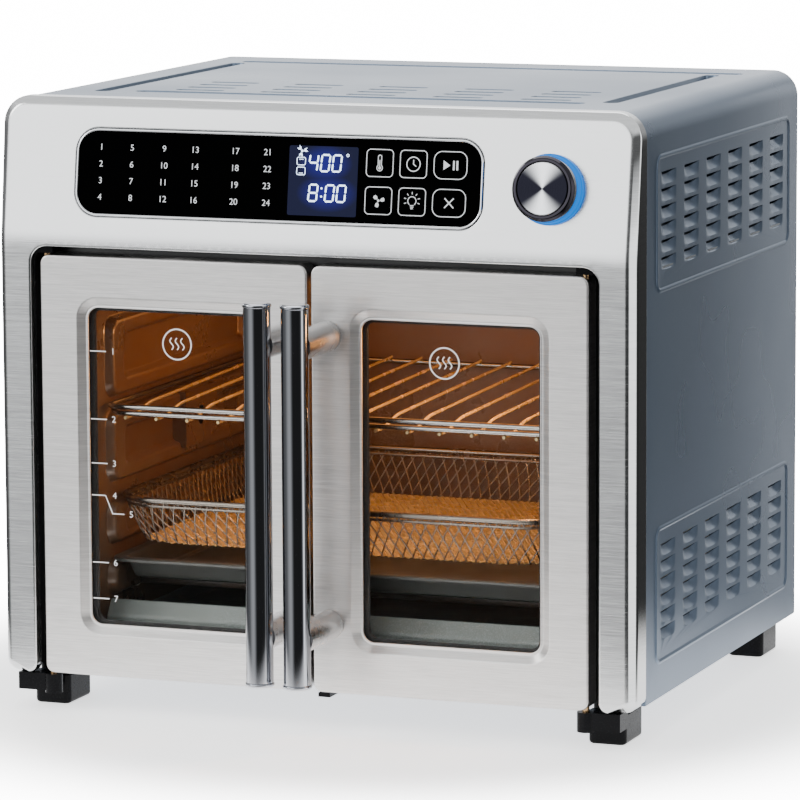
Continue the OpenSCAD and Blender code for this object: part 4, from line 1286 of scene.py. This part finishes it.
def make_side_walls():
    """Pressed chamber walls: four raised frames, each with a sunk middle, whose tops carry the inserts."""
    (_, half), (y0, y1), _ = span("rack_guides")
    left = Mould(lambda y, z, d: P(-half + 0.3 - d, y, z))
    pads = []
    raised = [(0, 0), (-0.8, -0.5), (-2.0, -3.2), (-3.0, -5.6), (-4.2, -6.6), (-5.8, -7.0)]
    sunk = [(0, -7.0), (-1.6, -6.6), (-2.8, -5.4), (-4.0, -2.0), (-5.4, -0.6), (-7.0, -0.4)]
    shallow = [(0, -7.0), (-1.0, -6.6), (-2.0, -6.0), (-3.5, -5.8)]
    for z0, z1 in ((197, 258), (134, 188.5), (88, 122.5), (50, 78.5)):
        outer, crest = left.rings(lambda out: rrect(y0 + 1, z0, y1 - 10, z1, 13, out, 8), raised)
        inset = 11 if z1 - z0 > 40 else 7
        r = min(9.0, (z1 - z0) / 2 - inset - 0.3)
        dip, floor = left.rings(lambda out: rrect(y0 + 21, z0 + inset, y1 - 32, z1 - inset, r, out, 8),
                                sunk if z1 - z0 > 40 else shallow)
        left.fill(crest, [dip])
        left.fill(floor)
        pads.append(outer)
    left.fill(left.ring([(26, 24), (343, 24), (343, 294), (26, 294)]), pads)
    bm = left.bm
    other = mirrored(bm)
    join = bpy.data.meshes.new("join")
    other.to_mesh(join)
    other.free()
    bm.from_mesh(join)
    bpy.data.meshes.remove(join)
    piece("side_pressings", bm, CHAMBER_ENAMEL, "cabinet", "enamel", ["rack_guides"], skin=0.25)


def tray_mesh(bm, node, rim, wall_in, corner, t, roll=1.2):
    """A pressed tray with a rolled rim, its walls wall_in inside the rim's edge."""
    (x0, x1), (y0, y1), (z0, z1) = span(node)
    deep = z1 - z0
    mould = Mould(lambda x, y, d: P(x, y, z1 - d), bm)

    def outline(out):
        return rrect(x0, y0, x1, y1, corner, out, 10)

    steps = [(-0.4, 2.6), (0, 1.6), (-0.3, 0.6), (-roll, 0), (-rim, 0), (-rim - 1.2, 0.5), (-wall_in, 3.0),
             (-wall_in - 3, deep - 5 - t), (-wall_in - 4.5, deep - 1.6 - t), (-wall_in - 8, deep - t)]
    _, floor = mould.rings(outline, steps)
    mould.fill(floor)


def make_pan():
    bm = bmesh.new()
    tray_mesh(bm, "baking_pan", 9.0, 12.0, 16.0, 1.0)
    piece("pan_pressed", bm, PAN_COATING, "pan", "pan_coating", ["baking_pan"], skin=0.9)


def make_crumb_tray():
    (x0, x1), (y0, y1), (z0, z1) = span("crumb_tray")
    bm = bmesh.new()
    low_walls = 12.0
    mould = Mould(lambda x, y, d: P(x, y, z0 + d), bm)
    section = [(y0 + 9, z1 - 4), (y0 + 9, z1 - 1), (y0 + 8.2, z1 - 0.2), (y0 + 7.2, z1 - 0.4),
               (y0 + 1.4, z1 - 8.6), (y0 + 0.4, z1 - 10), (y0, z1 - 12), (y0, z0 + 1.5), (y0 + 0.5, z0 + 0.4),
               (y0 + 1.5, z0), (y1 - 1.5, z0), (y1 - 0.4, z0 + 0.5), (y1, z0 + 1.5), (y1, z0 + low_walls)]
    xs = [x0 + 1 + (x1 - x0 - 2) * i / 10 for i in range(11)]
    rows = [[bm.verts.new(P(x, y, z)) for x in xs] for y, z in section]
    for a, b in zip(rows, rows[1:]):
        mould.strip(a, b, closed=False)
    for x, sign in ((x0, 1), (x1, -1)):
        low = [bm.verts.new(P(x + sign, y, z0)) for y in (y0 + 1.5, y1 - 1.5)]
        mid = [bm.verts.new(P(x, y, z0 + 1)) for y in (y0 + 1.5, y1 - 1.5)]
        high = [bm.verts.new(P(x, y, z0 + low_walls)) for y in (y0 + 1.5, y1 - 1.5)]
        for a, b in ((low, mid), (mid, high)):
            mould.strip(*((a, b) if sign > 0 else (b, a)), closed=False)
    piece("tray_folded", bm, TRAY_ENAMEL, "tray", "tray_enamel", ["crumb_tray"], skin=0.8, weld=0.0001)


# ---------------------------------------------------------------- window marks

def make_window_marks():
    mould = Mould(lambda x, z, d: P(x, PANE[1][0] - 0.05 + d, z))
    left = -WINDOW[2]
    levels = (238.4, 188.8, 156.5, 133.0, 119.9, 83.6, 57.0)
    for k, z in enumerate(levels):
        if k == 4:
            ribbon(mould, [(left + 11.3, levels[3]), (left + 16.8, z), (left + 26.0, z)], 0.8)
            text(mould, "5", left + 31.5, z, 6.6)
        else:
            ribbon(mould, [(left + 0.6, z), (left + (11.3 if k == 3 else 13.2), z)], 0.8)
            text(mould, str(k + 1), left + 18.6, z, 6.6)
    # The level marks' faint glow is painted light.
    piece("level_marks", mould.bm, MARK_PAINTED_GLOW, "left_door", "door_glass", skin=0.03, soft=False)
    for side, body, x in ((-1, "left_door", -103.5), (1, "right_door", 101.0)):
        mould = Mould(lambda a, z, d: P(a, PANE[1][0] - 0.05 + d, z))
        z = 246.0 if side < 0 else 241.5
        ribbon(mould, circle(x, z, 11.0, 48), 1.1, True)
        for dx in (-4.2, 0, 4.2):
            ribbon(mould, [(x + dx + 1.3 * math.sin(t * 2 * math.pi), z - 4.0 + 8.6 * t)
                           for t in (i / 12 for i in range(13))], 0.9)
        # The steam marks' faint glow is painted light.
        piece(f"steam_mark_{body}", mould.bm, MARK_PAINTED_GLOW, body, "door_glass", skin=0.03, soft=False)


# ---------------------------------------------------------------- carried-over CAD parts

CARRIED = {
    "cabinet_screws": SATIN, "base_pan": PAINT, "front_frame": DARK, "cord_gland": BLACK,
    "panel_carrier": BLACK, "touch_pads": COPPER, "control_board": BOARD, "power_board": BOARD,
    "encoder": SATIN, "encoder_shaft": SATIN,
    "cavity_liner": CHAMBER_ENAMEL, "insulation": WOOL, "top_deck": ZINC, "rack_guides": CHAMBER_ENAMEL,
    "heating_elements": SHEATH, "heater_bushes": CERAMIC, "fan_shroud": ZINC, "fan_wheel": ZINC,
    "cooling_fan": BLACK, "fan_shaft": SATIN, "fan_motor": DARK, "lamp_holder": CERAMIC,
    "lamp_bulb": LAMP_GLASS, "lamp_lens": LAMP_GLASS, "spit_brackets": CHAMBER_ENAMEL, "spit_socket": SATIN,
    "spit_motor": DARK, "temperature_sensor": SATIN, "thermal_cutout": CERAMIC, "hinge_brackets": BLACK,
    "door_catch": BLACK, "left_hinge_pins": BRONZE, "right_hinge_pins": BRONZE,
}


def finish_cad_parts():
    for node, material in CARRIED.items():
        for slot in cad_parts[node].material_slots:
            slot.material = material


# ---------------------------------------------------------------- room

def area_light(name, at, to, size, power, colour=(1, 1, 1)):
    light = bpy.data.lights.new(name, "AREA")
    light.shape = "RECTANGLE"
    light.size, light.size_y = size
    light.energy = power
    light.color = colour
    ob = bpy.data.objects.new(name, light)
    ob.location = at
    ob.rotation_euler = (Vector(to) - Vector(at)).to_track_quat("-Z", "Y").to_euler()
    ob.visible_camera = False
    bpy.context.scene.collection.objects.link(ob)


def make_floor():
    """A pale disc that fades away round the oven."""
    f = Finish("pale_floor", (0.86, 0.86, 0.86), 0.0, 0.6, Emission_Strength=1.5)
    f.set("Emission Color", (1.0, 1.0, 1.0, 1.0))
    f.colour(f.noise(3.0), (0.85, 0.85, 0.85), (0.88, 0.88, 0.88))
    reach = f.vector("LENGTH", f.where, out="Value")
    fade = {"Value": reach, "From Min": 0.28, "From Max": 0.56, "To Min": 1.0, "To Max": 0.0}
    f.link(f.node("ShaderNodeMapRange", fade, interpolation_type="SMOOTHERSTEP").outputs[0], "Alpha")
    bm = bmesh.new()
    bmesh.ops.create_circle(bm, cap_ends=True, segments=96, radius=1.0)
    mesh = bpy.data.meshes.new("floor")
    bm.to_mesh(mesh)
    bm.free()
    mesh.materials.append(f.material)
    floor = bpy.data.objects.new("floor", mesh)
    bpy.context.scene.collection.objects.link(floor)


# Brightness round the room, by compass angle from the front (right is positive), below and above eye level.
LOW_BAND = ((-180, .5), (-150, .9), (-135, .1), (-100, .08), (-60, .25), (-42, .6), (-28, .7), (-18, .55),
            (-8, .2), (2, .03), (66, .03), (78, .3), (84, 2.4), (92, 2.4), (98, .3), (104, .05), (150, .03),
            (170, .05), (180, .5))
HIGH_BAND = ((-180, 1.5), (-160, 2.2), (-135, 1.6), (-110, .4), (-75, .4), (-50, 2.4), (-30, 3.8), (-12, 3.2),
             (0, .6), (20, .15), (62, .15), (82, 2.6), (96, 2.6), (106, .4), (125, .12), (150, .3), (168, .5),
             (180, 1.5))


def make_world():
    world = bpy.data.worlds.new("studio")
    world.use_nodes = True
    bpy.context.scene.world = world
    tree = world.node_tree

    def node(kind, inputs=None, **settings):
        return add_node(tree, kind, inputs, **settings)

    way = node("ShaderNodeSeparateXYZ", {0: node("ShaderNodeTexCoord").outputs["Generated"]})
    back = node("ShaderNodeMath", {0: way.outputs["Y"], 1: -1.0}, operation="MULTIPLY").outputs[0]
    compass = node("ShaderNodeMath", {0: way.outputs["X"], 1: back}, operation="ARCTAN2").outputs[0]
    round_once = {"Value": compass, "From Min": -math.pi, "From Max": math.pi}
    turn = node("ShaderNodeMapRange", round_once).outputs[0]
    bands = []
    for stops in (LOW_BAND, HIGH_BAND):
        ramp = node("ShaderNodeFloatCurve", {"Value": turn})
        curve = ramp.mapping.curves[0]
        while len(curve.points) < len(stops):
            curve.points.new(0.5, 0.5)
        for point, (angle, level) in zip(curve.points, stops):
            point.location = ((angle + 180) / 360, level / 4)
            point.handle_type = "VECTOR"
        ramp.mapping.update()
        bands.append(ramp.outputs[0])
    height = node("ShaderNodeMapRange", {"Value": way.outputs["Z"], "From Min": -0.13, "From Max": 0.13},
                  interpolation_type="SMOOTHSTEP").outputs[0]
    crown = node("ShaderNodeMapRange", {"Value": way.outputs["Z"], "From Min": 0.3, "From Max": 0.55},
                 interpolation_type="SMOOTHSTEP").outputs[0]
    around = node("ShaderNodeMix", {0: height, 2: bands[0], 3: bands[1]}).outputs[0]
    level = node("ShaderNodeMix", {0: crown, 2: around, 3: 0.3}).outputs[0]
    full = node("ShaderNodeMath", {0: level, 1: 4.0}, operation="MULTIPLY").outputs[0]
    room = node("ShaderNodeBackground", {"Color": (0.97, 0.985, 1.0, 1.0), "Strength": full})
    white = node("ShaderNodeBackground", {"Color": (1, 1, 1, 1), "Strength": 16.0})
    seen = node("ShaderNodeMixShader", {0: node("ShaderNodeLightPath").outputs["Is Camera Ray"],
                                        1: room.outputs[0], 2: white.outputs[0]})
    tree.links.new(seen.outputs[0], tree.nodes["World Output"].inputs["Surface"])


def make_lights():
    area_light("key_left", (-2.6, -1.7, 1.9), (0, 0, 0.25), (1.2, 1.2), 36)
    area_light("top", (-0.2, 0.5, 2.2), (0, 0, 0.3), (1.6, 1.6), 26)
    area_light("rear_strip", P(334, 680, 200), P(244, 330, 170), (0.05, 0.6), 0.11)
    area_light("lamp", P(150, 66, 262), P(-120, 170, 150), (0.05, 0.05), 0.8, (1.0, 0.44, 0.14))
    area_light("element_glow", P(0, 180, 288), P(0, 160, 100), (0.30, 0.16), 0.3, (1.0, 0.38, 0.10))


def make_camera():
    """Stands where the oven is seen from its right front, a little above, through a long lens."""
    camera = bpy.data.cameras.new("camera")
    camera.sensor_width = 36.0
    camera.lens = 226.43
    camera.clip_end = 100.0
    ob = bpy.data.objects.new("camera", camera)
    tilt = (Matrix.Rotation(math.radians(20.78), 3, "Z") @ Matrix.Rotation(math.radians(0.29), 3, "Y")
            @ Matrix.Rotation(math.radians(-8.44), 3, "X"))
    right, ahead, up = (tilt @ Vector(v) for v in ((1, 0, 0), (0, 1, 0), (0, 0, 1)))
    turn = Matrix((right, up, -ahead)).transposed()
    ob.matrix_world = Matrix.Translation(P(1317.3, -3282.3, 735.6)) @ turn.to_4x4()
    bpy.context.scene.collection.objects.link(ob)
    bpy.context.scene.camera = ob


make_camera()
make_bezel()
make_door("right", False)
make_door("left", True)
make_cabinet()
make_rear()
make_feet()
make_controls()
make_knob()
make_side_walls()
make_rack()
make_basket()
make_pan()
make_crumb_tray()
make_window_marks()
finish_cad_parts()
make_floor()
make_world()
make_lights()
